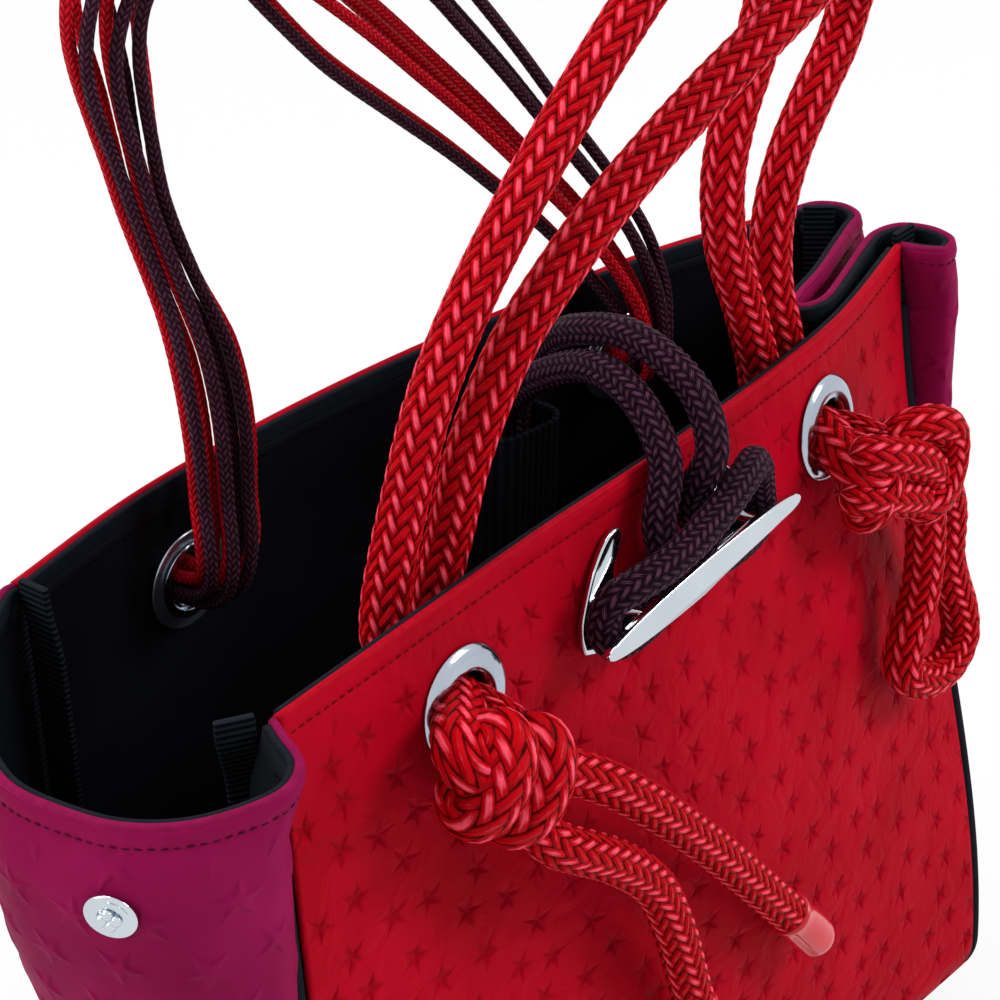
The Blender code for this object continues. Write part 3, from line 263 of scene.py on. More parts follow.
def gridMesh(name, across, down, place, wrap=False, flip=False, holes=()):
    # A grid bent into shape, or a closed tube if wrapped: place gives the points at column i and row j, and
    # across and down hold their UV values
    nu, nv = len(across) - 1, len(down) - 1
    form = bmesh.new()
    form.loops.layers.uv.new("UVMap")
    bmesh.ops.create_grid(form, x_segments=nu, y_segments=nv, size=1.0, calc_uvs=True)
    if flip:
        bmesh.ops.reverse_faces(form, faces=form.faces)
    mesh = meshFrom(form, name)
    co = np.empty(len(mesh.vertices) * 3)
    mesh.vertices.foreach_get("co", co)
    co = co.reshape(-1, 3)
    i = np.rint((co[:, 0] + 1) / 2 * nu).astype(int)
    j = np.rint((co[:, 1] + 1) / 2 * nv).astype(int)
    made = place(i, j)
    mesh.vertices.foreach_set("co", np.ascontiguousarray(made, dtype=np.float32).ravel())
    loops = np.empty(len(mesh.loops), int)
    mesh.loops.foreach_get("vertex_index", loops)
    flat = np.stack([across[i], down[j]], -1)[loops]
    mesh.uv_layers[0].data.foreach_set("uv", np.ascontiguousarray(flat, dtype=np.float32).ravel())
    mesh.update()
    form = bmesh.new()
    form.from_mesh(mesh)
    for centre, axis, radius in holes:
        openHole(form, centre, axis, radius)
    if wrap:
        bmesh.ops.remove_doubles(form, verts=form.verts, dist=0.000005)
        bmesh.ops.holes_fill(form, edges=form.edges, sides=0)
        bmesh.ops.recalc_face_normals(form, faces=form.faces)
    form.to_mesh(mesh)
    form.free()
    return mesh


# How deep a hole reaches through the cloth, and how wide a ring of points is pulled onto its edge
holeShape = {"reach": 0.02, "pull": 1.35}


def openHole(form, centre, axis, radius):
    # A round hole in a sheet: drop the faces inside it and pull the edge onto the circle
    centre, axis = Vector(centre), Vector(axis)

    def away(place):
        offset = place - centre
        along = offset.dot(axis)
        return (offset - axis * along).length if abs(along) < holeShape["reach"] else math.inf

    inner = [f for f in form.faces if away(f.calc_center_median()) < radius]
    if not inner:
        return
    bmesh.ops.delete(form, geom=inner, context="FACES")
    for vert in {v for e in form.edges if e.is_boundary for v in e.verts}:
        if away(vert.co) < radius * holeShape["pull"]:
            offset = vert.co - centre
            along = axis * offset.dot(axis)
            vert.co = centre + along + (offset - along).normalized() * radius


def thicken(item, thickness, offset=-1.0):
    solid = item.modifiers.new("thickness", "SOLIDIFY")
    solid.thickness = thickness
    solid.offset = offset


def frames(points):
    # Side and up directions carried along a path without twist
    way = np.gradient(points[:, :3], axis=0)
    way /= np.linalg.norm(way, axis=1, keepdims=True)
    side = np.empty_like(way)
    start = np.cross(way[0], (0.0, 0.0, 1.0))
    if np.linalg.norm(start) < 0.1:
        start = np.cross(way[0], (1.0, 0.0, 0.0))
    side[0] = start / np.linalg.norm(start)
    for k in range(1, len(points)):
        carried = side[k - 1] - way[k] * side[k - 1].dot(way[k])
        side[k] = carried / np.linalg.norm(carried)
    return side, np.cross(way, side)


def tubeMesh(name, points, columns, relief=None):
    # A round tube along x, y, z, radius points; UV holds the turn and the length in metres
    side, up = frames(points)
    run = runOf(points)

    def place(i, j):
        turn = (i % columns) / columns
        radius = points[j, 3]
        if relief:
            radius = radius + relief(turn, run[j])
        angle = 2 * math.pi * turn[:, None]
        return points[j, :3] + (side[j] * np.cos(angle) + up[j] * np.sin(angle)) * radius[:, None]

    return gridMesh(name, np.arange(columns + 1) / columns, run, place, wrap=True)


def spunMesh(name, profile, matrix, steps=64, closed=False):
    # A profile of radius and height pairs spun about Z
    form = bmesh.new()
    verts = [form.verts.new((r, 0.0, h)) for r, h in profile]
    edges = [form.edges.new(pair) for pair in zip(verts, verts[1:])]
    if closed:
        edges.append(form.edges.new((verts[-1], verts[0])))
    bmesh.ops.spin(form, geom=verts + edges, cent=(0, 0, 0), axis=(0, 0, 1), angle=2 * math.pi, steps=steps,
                   use_merge=True)
    bmesh.ops.remove_doubles(form, verts=form.verts, dist=0.00001)
    bmesh.ops.recalc_face_normals(form, faces=form.faces)
    bmesh.ops.transform(form, matrix=matrix, verts=form.verts)
    return meshFrom(form, name)


def rounded(profile, radius, segments=3, most=0.45):
    # Round the corners of a closed profile, each over no more than this share of its edges
    out = []
    count = len(profile)
    for k in range(count):
        a, b, c = (Vector(profile[(k + n - 1) % count]) for n in range(3))
        cut = min(radius, (a - b).length * most, (c - b).length * most)
        p, q = b + (a - b).normalized() * cut, b + (c - b).normalized() * cut
        for n in range(segments + 1):
            t = n / segments
            out.append(tuple(p * (1 - t) ** 2 + b * 2 * t * (1 - t) + q * t * t))
    return out


# Materials
# The Math node for each of numpy's functions
wireNodes = {np.add: "ADD", np.subtract: "SUBTRACT", np.multiply: "MULTIPLY", np.divide: "DIVIDE",
             np.power: "POWER", np.sin: "SINE", np.cos: "COSINE", np.arctan2: "ARCTAN2", np.sqrt: "SQRT",
             np.abs: "ABSOLUTE", np.floor: "FLOOR", np.mod: "FLOORED_MODULO", np.greater: "GREATER_THAN",
             np.minimum: "MINIMUM", np.maximum: "MAXIMUM"}


class Wire(np.lib.mixins.NDArrayOperatorsMixin):
    # A node's output. Signs and numpy's functions add Math nodes, so one formula serves mesh and shader
    def __init__(self, socket):
        self.socket = socket
        self.tree = socket.id_data

    def __array_ufunc__(self, function, method, *values):
        made = self.tree.nodes.new("ShaderNodeMath")
        made.operation = wireNodes[function]
        setInputs(made, dict(enumerate(values)))
        return Wire(made.outputs[0])


def setInputs(node, values):
    # Set a node's inputs, or link those whose value is a wire
    for name, value in values.items():
        if isinstance(value, Wire):
            node.id_data.links.new(value.socket, node.inputs[name])
        else:
            node.inputs[name].default_value = value


def newNode(tree, kind, values):
    made = tree.nodes.new(f"ShaderNode{kind}")
    setInputs(made, values)
    return made


def newLook(name, roughness, specular=0.5, metallic=0.0, coat=0.0):
    made = bpy.data.materials.new(name)
    made.use_nodes = True
    shader = made.node_tree.nodes["Principled BSDF"]
    setInputs(shader, {"Roughness": roughness, "Specular IOR Level": specular, "Metallic": metallic,
                       "Coat Weight": coat, "Coat Roughness": 0.1})
    return made, shader


def inBody(tree):
    return Wire(tree.nodes.new("ShaderNodeTexCoord").outputs["Object"])


def onSurface(tree):
    # The two UV values, in metres or turns
    place = Wire(tree.nodes.new("ShaderNodeTexCoord").outputs["UV"])
    made = newNode(tree, "SeparateXYZ", {0: place})
    return Wire(made.outputs[0]), Wire(made.outputs[1])


def noise(place, scale, detail=3.0, distortion=0.0):
    made = newNode(place.tree, "TexNoise", {"Vector": place, "Scale": scale, "Detail": detail,
                                            "Distortion": distortion})
    return Wire(made.outputs["Fac"])


def ramp(value, stops):
    made = newNode(value.tree, "ValToRGB", {0: value})
    bar = made.color_ramp
    while len(bar.elements) < len(stops):
        bar.elements.new(0.5)
    for element, (place, colour) in zip(bar.elements, stops):
        element.position = place
        element.color = (*colour, 1.0)
    return Wire(made.outputs[0])


def mixed(share, first, colour):
    # Share of a fixed colour over the first
    made = share.tree.nodes.new("ShaderNodeMix")
    made.data_type = "RGBA"
    setInputs(made, {0: share, 6: first, 7: (*colour, 1.0)})
    return Wire(made.outputs[2])


def bump(height, distance, strength=1.0, **before):
    values = {"Height": height, "Distance": distance, "Strength": strength, **before}
    return Wire(newNode(height.tree, "Bump", values).outputs[0])


def starNumbers(stars):
    # The straight edge between a tip and an inner corner: its direction and its distance
    inner = Vector((math.cos(math.pi / 5), math.sin(math.pi / 5))) * stars["waist"]
    along = inner - Vector((1.0, 0.0))
    normal = Vector((-along.y, along.x)).normalized()
    if normal.x < 0:
        normal = -normal
    return math.atan2(normal.y, normal.x), normal.x


def starShare(x, y, stars):
    # 0 in the middle of the nearest star, 1 on its edge; each star strays and turns by its row and column
    facing, reach = starNumbers(stars)
    gy = y / stars["down"]
    row = np.floor(gy)
    gx = x / stars["across"] + np.mod(row, 2) * 0.5
    column = np.floor(gx)
    lx = (gx - column - 0.5 + stars["stray"] * np.sin(1.7 * column + 2.9 * row)) * stars["across"]
    ly = (gy - row - 0.5 + stars["stray"] * np.sin(2.3 * column - 1.3 * row)) * stars["down"]
    angle = np.arctan2(ly, lx) + stars["turn"] + stars["sway"] * np.sin(3.1 * column + 0.7 * row)
    fold = np.abs(np.mod(angle + math.pi / 5, 2 * math.pi / 5) - math.pi / 5)
    return np.sqrt(lx * lx + ly * ly) * np.cos(fold - facing) / (reach * stars["radius"])


# Below the hem the stars begin after a gap and reach their full depth over a span
starFade = {"gap": 0.002, "span": 0.006}


def starMark(x, y, stars, ragged=0.0):
    # 1 in a star and 0 around it, with none in the hem
    share = starShare(x, y, stars) + ragged
    mark = 1 - ease((share - stars["inner"]) / (stars["outer"] - stars["inner"]))
    return mark * ease((y - stars["hem"] - starFade["gap"]) / starFade["span"])


# Scales of the noises per metre, and how much each one shows
clothShape = {"roughness": 0.55, "specular": 0.02, "blotches": 26.0, "grain": 2600.0, "grainDepth": 0.0001,
              "grainShare": 0.25, "ragScale": 170.0, "creases": 75.0, "creaseTwist": 0.8}


def clothLook(name, stars, colour, deep, pale, lift):
    # Embossed cloth: fine grain, soft variation, and stars that sink in or stand up below the hem, with
    # painted shade in sunken stars and a painted highlight on raised ones
    s = clothShape
    made, shader = newLook(name, s["roughness"], s["specular"])
    body = inBody(made.node_tree)
    grain = noise(body, s["grain"], 2.0)
    ragged = (noise(body, s["ragScale"]) - 0.5) * stars["ragged"]
    mark = starMark(*onSurface(made.node_tree), stars, ragged)
    base = ramp(noise(body, s["blotches"], 4.0), ((0.3, deep), (0.52, colour), (0.78, pale)))
    # Each star's colour is painted light: painted shade in the red cloth's sunken stars, a painted highlight
    # on the gusset's raised stars
    base = mixed(mark * stars["paintedStarShare"], base, stars["paintedStarShading"])
    base = mixed(grain * s["grainShare"], base, deep)
    relief = bump(grain, s["grainDepth"], 0.5)
    relief = bump(noise(body, s["creases"], 3.0, s["creaseTwist"]), stars["crease"], 0.7, Normal=relief)
    setInputs(shader, {"Base Color": base, "Normal": bump(mark, lift, 0.9, Normal=relief)})
    return made


# Rounding of a yarn across and along, how far it dips under the next, how its tone strays, and the height
# that lies on the rope's round surface
yarnShape = {"crown": 0.7, "arch": 0.8, "dip": 0.55, "stray": 420.0, "strayShare": 0.45, "level": 0.75}


def braidAt(turn, run, weave):
    # Two over two braid: the upper yarn's height from 0 to 1, the place across it, and 1 if it leans forward
    s = yarnShape
    a = weave["yarns"] * turn + weave["rate"] * run
    b = weave["rate"] * run - weave["yarns"] * turn
    over = np.mod(np.floor(a) - np.floor(b), 4)
    fa, fb = a - np.floor(a), b - np.floor(b)
    second = over > 1.5
    first = 1.0 - second
    across = fa * first + fb * second
    along = (fb + 1 - over) * 0.5 * first + (fa + over - 2) * 0.5 * second
    arch = np.sin(along * math.pi) ** s["arch"]
    return np.sin(across * math.pi) ** s["crown"] * (1 - s["dip"] + s["dip"] * arch), across, first


def ropeLook(name, weave, paintedGapShade, body, paintedHighlight, roughness, specular, threads, depth):
    # Braid drawn along the rope: yarn shape, painted shade in the gaps, painted highlight on the crowns, fine
    # threads on each yarn
    made, shader = newLook(name, roughness, specular)
    height, across, first = braidAt(*onSurface(made.node_tree), weave)
    lines = np.sin(across * (2 * math.pi * threads))
    stray = noise(inBody(made.node_tree), yarnShape["stray"], 2.0)
    # Painted highlight: the yarns that lean one way are painted lighter along their threads, the others stay
    # deep
    paintedLight = (first * weave["lean"] + (1.0 - weave["lean"])) * height
    # The colour follows yarn height, so edges and gaps get painted shade; the thread lines add painted light
    # and shade along each thread, the stray noise a random tone
    tone = paintedLight + (stray - 0.5) * yarnShape["strayShare"] + lines * weave["thread"]
    colour = ramp(tone, ((0.1, paintedGapShade), (0.42, body), (0.66, body), (0.95, paintedHighlight)))
    full = height + (lines + stray) * weave["thread"]
    setInputs(shader, {"Base Color": colour, "Normal": bump(full, depth)})
    return made


# Fine threads: their pitch as a share of the ribs' pitch, and their height beside the ribs; tone is how far
# the colour follows the relief, painted shade in the grooves and painted highlight on the crests
tapeShape = {"roughness": 0.78, "specular": 0.06, "thread": 0.35, "threadHeight": 0.25, "tone": 0.35}


def tapeLook(name, colour, pale, pitch, depth, across=False):
    # Ribbed tape: ribs along one way of its UV, fine threads the other way
    s = tapeShape
    made, shader = newLook(name, s["roughness"], s["specular"])
    x, y = onSurface(made.node_tree)
    ribs, threads = (x, y) if across else (y, x)
    wave = np.sin(ribs * (2 * math.pi / pitch))
    height = wave + np.sin(threads * (2 * math.pi / (pitch * s["thread"]))) * s["threadHeight"]
    # Painted shade and highlight: the colour darkens in the grooves and pales on the crests of ribs and
    # threads
    tone = ramp(height * s["tone"] + 0.5, ((0.2, colour), (0.95, pale)))
    setInputs(shader, {"Base Color": tone, "Normal": bump(height, depth, 0.9)})
    return made


def smoothLook(name, colour, pale, roughness, specular, scale, depth, metallic=0.0, coat=0.0):
    # Plain finish with a little uneven colour and a fine bump, many times finer than the colour
    made, shader = newLook(name, roughness, specular, metallic, coat)
    body = inBody(made.node_tree)
    base = ramp(noise(body, scale), ((0.3, colour), (0.75, pale)))
    setInputs(shader, {"Base Color": base, "Normal": bump(noise(body, scale * 22), depth, 0.5)})
    return made


# lean: how much darker the yarns leaning back are painted than those leaning forward, a painted highlight on
# one yarn family
def braid(diameter, yarns, slant, thread, lean):
    rate = yarns * math.tan(math.radians(slant)) / (math.pi * diameter)
    return {"yarns": yarns, "rate": rate, "thread": thread, "lean": lean}


# The star tables hold a colour painted into the stars and how much of it shows: painted shade in the red
# cloth's sunken stars, a painted highlight on the gusset's raised stars
redStars = {"across": 0.015, "down": 0.0128, "radius": 0.0056, "waist": 0.4, "turn": 0.5, "sway": 0.9,
            "stray": 0.16, "inner": 0.02, "outer": 1.15, "paintedStarShare": 0.34, "paintedStarShading": (0.15, 0.0003, 0.004),
            "ragged": 0.85, "hem": 0.0052, "crease": 0.0024, "rise": -0.00065}
gussetStars = {"across": 0.0165, "down": 0.015, "radius": 0.0066, "waist": 0.42, "turn": 0.3, "sway": 0.7,
               "stray": 0.08, "inner": 0.35, "outer": 1.1, "paintedStarShare": 0.12, "paintedStarShading": (0.33, 0.012, 0.085),
               "ragged": 0.3, "hem": 0.0046, "crease": 0.0008, "rise": 0.0004}
redCloth = clothLook("redCloth", redStars, colour=(0.405, 0.001, 0.0115), deep=(0.33, 0.0006, 0.008),
                     pale=(0.47, 0.0016, 0.016), lift=-0.001)
magentaCloth = clothLook("magentaCloth", gussetStars, colour=(0.235, 0.0045, 0.056),
                         deep=(0.175, 0.003, 0.04), pale=(0.285, 0.0065, 0.072), lift=0.0006)

thickBraid = braid(0.0113, yarns=12, slant=31, thread=0.06, lean=0.34)
plumBraid = braid(0.0085, yarns=12, slant=40, thread=0.16, lean=0.1)
thinBraid = braid(0.0034, yarns=8, slant=34, thread=0.05, lean=0.1)
# Each rope's colours: painted shade for the gaps, its own colour, and a painted highlight for the yarn crowns
redRope = ropeLook("redRope", thickBraid, paintedGapShade=(0.07, 0.0, 0.001), body=(0.5, 0.0014, 0.006),
                   paintedHighlight=(0.95, 0.085, 0.14), roughness=0.38, specular=0.03, threads=3, depth=0.001)
redThin = ropeLook("redThinCord", thinBraid, paintedGapShade=(0.12, 0.0, 0.002), body=(0.42, 0.0025, 0.0085),
                   paintedHighlight=(0.66, 0.016, 0.034), roughness=0.5, specular=0.03, threads=2, depth=0.00035)
plumRope = ropeLook("plumRope", plumBraid, paintedGapShade=(0.002, 0.0004, 0.001), body=(0.016, 0.0032, 0.009),
                    paintedHighlight=(0.115, 0.042, 0.082), roughness=0.42, specular=0.04, threads=4, depth=0.0007)
plumThin = ropeLook("plumThinCord", thinBraid, paintedGapShade=(0.0045, 0.0008, 0.0018), body=(0.033, 0.0085, 0.017),
                    paintedHighlight=(0.09, 0.034, 0.055), roughness=0.55, specular=0.03, threads=2, depth=0.00035)
# Each kind of rope: its diameter, how far its yarns stand up, its weave, look and slot
ropes = {"thick": (0.0113, 0.00055, thickBraid, redRope, "red_rope"),
         "closure": (0.0085, 0.0005, plumBraid, plumRope, "plum_rope"),
         "red": (0.0034, 0.00012, thinBraid, redThin, "red_rope"),
         "plum": (0.0034, 0.00012, thinBraid, plumThin, "plum_rope")}

# Ribbed tapes: colour in the grooves, and a paler colour painted on the crests as a highlight
navyTape = tapeLook("navyRibbedTape", (0.0026, 0.0038, 0.0058), (0.013, 0.0165, 0.023), 0.0016, 0.0003)
navyPiping = tapeLook("navyPiping", (0.005, 0.0065, 0.01), (0.01, 0.0125, 0.018), 0.0007, 0.00008)
navyWeb = tapeLook("navyWebbing", (0.0024, 0.0032, 0.005), (0.0125, 0.0155, 0.021), 0.0021, 0.0005, True)

# Plain finishes: colour and paler colour, roughness, specular, scale and depth of the unevenness, metal, coat
plain = {name: smoothLook(name, *numbers) for name, *numbers in (
    ("navyLining", (0.002, 0.0026, 0.0042), (0.0036, 0.0044, 0.007), 0.6, 0.1, 60.0, 0.00005),
    ("navyEdge", (0.005, 0.0068, 0.0108), (0.009, 0.0115, 0.017), 0.75, 0.06, 500.0, 0.0001),
    ("redEdge", (0.36, 0.001, 0.01), (0.46, 0.002, 0.015), 0.5, 0.03, 400.0, 0.0001),
    ("magentaEdge", (0.2, 0.0045, 0.048), (0.26, 0.0065, 0.066), 0.6, 0.03, 400.0, 0.0001),
    ("redThread", (0.11, 0.0005, 0.003), (0.17, 0.001, 0.006), 0.7, 0.08, 900.0, 0.00005),
    ("magentaThread", (0.055, 0.0012, 0.013), (0.09, 0.0022, 0.022), 0.7, 0.08, 900.0, 0.00005),
    ("navyThread", (0.001, 0.0013, 0.0022), (0.0022, 0.0028, 0.0045), 0.9, 0.04, 900.0, 0.00005),
    ("polishedMetal", (0.54, 0.59, 0.64), (0.62, 0.67, 0.72), 0.09, 0.5, 35.0, 0.000004, 1.0),
    ("eyeletMetal", (0.38, 0.43, 0.51), (0.48, 0.53, 0.6), 0.14, 0.5, 60.0, 0.000006, 1.0),
    ("washerMetal", (0.46, 0.51, 0.58), (0.56, 0.61, 0.68), 0.36, 0.5, 60.0, 0.000008, 1.0),
    ("darkMetal", (0.2, 0.2, 0.21), (0.27, 0.27, 0.28), 0.3, 0.5, 80.0, 0.00001, 1.0),
    ("redPlastic", (0.56, 0.003, 0.014), (0.64, 0.006, 0.022), 0.18, 0.35, 60.0, 0.00002, 0.0, 0.12),
)}
print("materials made")


# Where the model's round metal pieces sit
def nodePoints(name):
    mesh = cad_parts[name].data
    co = np.empty(len(mesh.vertices) * 3)
    mesh.vertices.foreach_get("co", co)
    return co.reshape(-1, 3)


def discFrame(name, hint):
    # Frame of a round node: Z on its axis towards the hint, origin at its lowest place
    co = nodePoints(name)
    middle = np.unique(np.round(co, 6), axis=0).mean(0)
    axis = np.linalg.eigh(np.cov((co - middle).T))[1][:, 0]
    axis = axis if axis.dot(hint) > 0 else -axis
    rise = (co - middle) @ axis
    z = Vector(axis)
    x = z.orthogonal().normalized()
    return frameAt(Vector(middle) + z * rise.min(), x, z.cross(x), z), rise.max() - rise.min()


eyelets = {"front_left": ("front", (0, -1, 0)), "front_right": ("front", (0, -1, 0)),
           "rear_left": ("rear", (0, 1, 0)), "rear_right": ("rear", (0, 1, 0))}
eyeletShape = {"bore": 0.0077, "barrel": 0.0087, "radius": 0.0145, "washer": 0.0135, "hole": 0.0092}
holes = {"front": [], "rear": [], "left": [], "right": []}
eyeletFrames = {}
for name, (where, hint) in eyelets.items():
    eyeletFrames[name] = discFrame(f"{name}_eyelet", hint)
    matrix = eyeletFrames[name][0]
    holes[where].append((matrix.translation, matrix.col[2].xyz, eyeletShape["hole"]))


# Cloth and lining
# Columns and rows of each sheet; the shift keeps the star field's columns above zero
cloth = {"front": (196, 188), "rear": (130, 118), "left": (142, 160), "right": (150, 120), "hemShare": 0.03,
         "hemRows": 7, "cornerRows": 22, "edge": 0.02, "shift": 0.2, "widthRow": 0.25}
# Heights and widths of the hem's relief. Places and widths are shares of its depth, apart from the groove's
hem = {"rise": 0.0005, "risePlace": 0.45, "riseWidth": 0.38, "groove": 0.0004, "grooveWidth": 0.0008,
       "pucker": 0.00016, "puckerPlace": 1.1, "puckerWidth": 0.8, "pitch": 0.0052, "wander": 0.6,
       "wanderRate": 210.0}
linings = {"front": 60, "rear": 60, "left": 72, "right": 110, "rows": 36, "cornerRows": 12, "trim": 0.002,
           "top": 0.004}
baseGap = 0.0008


def downLength(v):
    # Distance down the cloth from the rim
    return np.where(v <= 1, v * sideHeight, sideHeight + (v - 1) * math.pi / 2 * bag["corner"])


def hemRelief(drop, along, depth):
    # The turned-over top edge stands a little proud and puckers between its stitches
    def hump(place, width):
        return np.exp(-((drop - place) / width) ** 2)

    swell = hump(depth * hem["risePlace"], depth * hem["riseWidth"]) * hem["rise"]
    groove = hump(depth, hem["grooveWidth"]) * hem["groove"]
    wave = np.sin(2 * math.pi * (along / hem["pitch"] + hem["wander"] * np.sin(along * hem["wanderRate"])))
    pucker = wave * hump(depth * hem["puckerPlace"], depth * hem["puckerWidth"]) * hem["pucker"]
    return swell - groove + pucker


def clothPiece(where, look, slot, stars):
    point, turn, low = sides[where]
    columns, rows = cloth[where]
    us = np.linspace(low, 1.0, columns + 1)
    hemRows, cornerRows = cloth["hemRows"], cloth["cornerRows"]
    vs = np.concatenate([np.linspace(0, cloth["hemShare"], hemRows + 1)[:-1],
                         np.linspace(cloth["hemShare"], 1.0, rows - hemRows - cornerRows),
                         np.linspace(1, 2, cornerRows + 1)[1:]])
    run = runOf(point(us, np.full_like(us, cloth["widthRow"])))
    middle = run - run[-1] / 2

    def place(i, j):
        u, v = us[i], vs[j]
        drop = downLength(v)
        lift = stars["rise"] * starMark(middle[i] + cloth["shift"], drop, stars)
        lift = lift + hemRelief(drop, middle[i], stars["hem"])
        edge = ease((us[i] - low) / cloth["edge"]) * ease((1.0 - us[i]) / cloth["edge"])
        return point(u, v) + outward(where, u, v) * (lift * edge)[:, None]

    mesh = gridMesh(f"{where}Cloth", middle + cloth["shift"], downLength(vs), place, flip=turn < 0,
                    holes=holes[where])
    kind = "panel" if low < 0 else "gusset"
    item = finish(f"{where}_{kind}_cloth", mesh, look, slot, f"{where}_{kind}")
    thicken(item, bag["cloth"])


def liningPiece(where):
    point, turn, low = sides[where]
    columns = linings[where]
    trim = 1 - linings["trim"] / bag["width"] if low < 0 else 1.0
    us = np.linspace(low * trim, trim, columns + 1)
    vs = np.concatenate([np.linspace(linings["top"], 1.0, linings["rows"] + 1),
                         np.linspace(1, 2, linings["cornerRows"] + 1)[1:]])
    inner = inside(where, bag["cloth"] + bag["liningGap"])
    run = runOf(point(us, np.full_like(us, cloth["widthRow"])))
    mesh = gridMesh(f"{where}Lining", run, downLength(vs), lambda i, j: inner(us[i], vs[j]), flip=turn < 0,
                    holes=holes[where])
    kind = "" if low < 0 else "_gusset"
    item = finish(f"{where}{kind}_lining_cloth", mesh, plain["navyLining"], "navy_lining",
                  f"{where}{kind}_lining")
    thicken(item, bag["lining"])


def slabPiece(name, node, halfX, base, thickness, look, slot, bevel):
    # A flat sheet of the bottom, between the two panels
    form = bmesh.new()
    form.loops.layers.uv.new("UVMap")
    size = Matrix.Diagonal((2 * halfX, 2 * (flatHalf - baseGap), thickness, 1.0))
    bmesh.ops.create_cube(form, size=1.0, matrix=Matrix.Translation((0, 0, base + thickness / 2)) @ size,
                          calc_uvs=True)
    bmesh.ops.bevel(form, geom=form.edges[:], offset=bevel, segments=2, profile=0.5, affect="EDGES",
                    material=-1)
    layer = form.loops.layers.uv[0]
    for face in form.faces:
        for loop in face.loops:
            loop[layer].uv = (loop.vert.co.x + cloth["shift"], loop.vert.co.y + cloth["shift"])
    finish(name, meshFrom(form, name), look, slot, node)


for where in ("front", "rear"):
    clothPiece(where, redCloth, "red_cloth", redStars)
for where in ("left", "right"):
    clothPiece(where, magentaCloth, "magenta_cloth", gussetStars)
for where in sides:
    liningPiece(where)
slabPiece("base_cloth", "base_panel", halfWidth, 0.0, bag["cloth"], redCloth, "red_cloth", 0.0004)
slabPiece("base_lining_cloth", "base_lining", halfWidth - 0.001, bag["cloth"] + bag["liningGap"],
          bag["lining"], plain["navyLining"], "navy_lining", 0.0003)
print("cloth and lining made")


# Rim: rolled cloth edge, dark band inside it, and the rows of stitching
rim = {"roll": 0.0011, "rollDepth": 0.0009, "rollRise": -0.0001, "bandOuter": 0.0017, "bandInner": 0.0035,
       "bandTop": 0.0005, "bandLow": -0.0042, "stitch": 0.0018, "pitch": 0.0027, "thread": 0.00026,
       "liningStitch": 0.0072, "step": 0.002, "uvWidth": 0.01, "sink": 0.0001, "bandCorner": 0.0007}


def rimStrip(name, where, profile, look, slot, low, high=1.0):
    # A closed profile of depth and rise pairs carried along the rim
    point = sides[where][0]
    us = np.linspace(low, high, 1200)
    run = runOf(point(us, np.zeros_like(us)))
    count = round(run[-1] / rim["step"])
    us = np.interp(np.linspace(0, run[-1], count + 1), run, us)
    base, out = point(us, np.zeros_like(us)), outward(where, us, np.zeros_like(us))
    out[:, 2] = 0
    out /= np.linalg.norm(out, axis=1, keepdims=True)
    loop = np.array(profile)
    n = len(loop)

    def place(i, j):
        spot = loop[i % n]
        return base[j] - out[j] * spot[:, :1] + np.array((0.0, 0.0, 1.0)) * spot[:, 1:]

    mesh = gridMesh(name, np.arange(n + 1) / n * rim["uvWidth"], runOf(base), place, wrap=True)
    finish(name, mesh, look, slot)


def circleProfile(depth, rise, radius, count=10):
    turns = np.linspace(0, 2 * math.pi, count + 1)[:-1]
    return [(depth + radius * math.cos(t), rise + radius * math.sin(t)) for t in turns]


def stitches(name, where, drop, lift, look, slot, low=0.004):
    # A row of short rounded stitches along the cloth, a drop below the rim
    point, _, first = sides[where]
    us = np.linspace(first, 1.0, 1500)
    v = np.full_like(us, rowAt(drop))
    run = runOf(point(us, v))
    goals = np.arange(low, run[-1] - low, rim["pitch"])
    spots = np.interp(goals, run, us)
    v = np.full_like(spots, rowAt(drop))
    place = point(spots, v)
    out = outward(where, spots, v)
    ahead = point(np.minimum(spots + uvStep, 1), v) - point(np.maximum(spots - uvStep, first), v)
    form = bmesh.new()
    for spot, normal, way in zip(place, out, ahead):
        x = Vector(way).normalized()
        z = Vector(normal)
        y = z.cross(x).normalized()
        size = Matrix.Diagonal((rim["stitch"] / 2, rim["thread"], rim["thread"], 1.0))
        matrix = frameAt(Vector(spot) + z * lift, x, y, x.cross(y)) @ size
        bmesh.ops.create_uvsphere(form, u_segments=6, v_segments=5, radius=1.0,
                                  matrix=matrix @ Matrix.Rotation(math.pi / 2, 4, "Y"))
    finish(name, meshFrom(form, name), look, slot)


band = rounded([(rim["bandOuter"], rim["bandTop"]), (rim["bandInner"], rim["bandTop"]),
                (rim["bandInner"], rim["bandLow"]), (rim["bandOuter"], rim["bandLow"])], rim["bandCorner"])
roll = circleProfile(rim["rollDepth"], rim["rollRise"], rim["roll"])
linedDepth = bag["cloth"] + bag["liningGap"] + bag["lining"]


def rimPieces(where, colour, slot, stars, low, high):
    rimStrip(f"{where}_rim_roll", where, roll, plain[f"{colour}Edge"], slot, sides[where][2])
    rimStrip(f"{where}_rim_band", where, band, plain["navyEdge"], "navy_lining", low, high)
    stitches(f"{where}_rim_stitches", where, stars["hem"], -rim["sink"], plain[f"{colour}Thread"], slot)
    stitches(f"{where}_lining_stitches", where, rim["liningStitch"], -linedDepth - rim["sink"],
             plain["navyThread"], "navy_lining", 0.008)


rimPieces("front", "red", "red_cloth", redStars, -0.985, 0.985)
rimPieces("rear", "red", "red_cloth", redStars, -0.998, 0.985)
rimPieces("left", "magenta", "magenta_cloth", gussetStars, 0.0, 0.985)
rimPieces("right", "magenta", "magenta_cloth", gussetStars, 0.01, 0.99)
print("rim made")


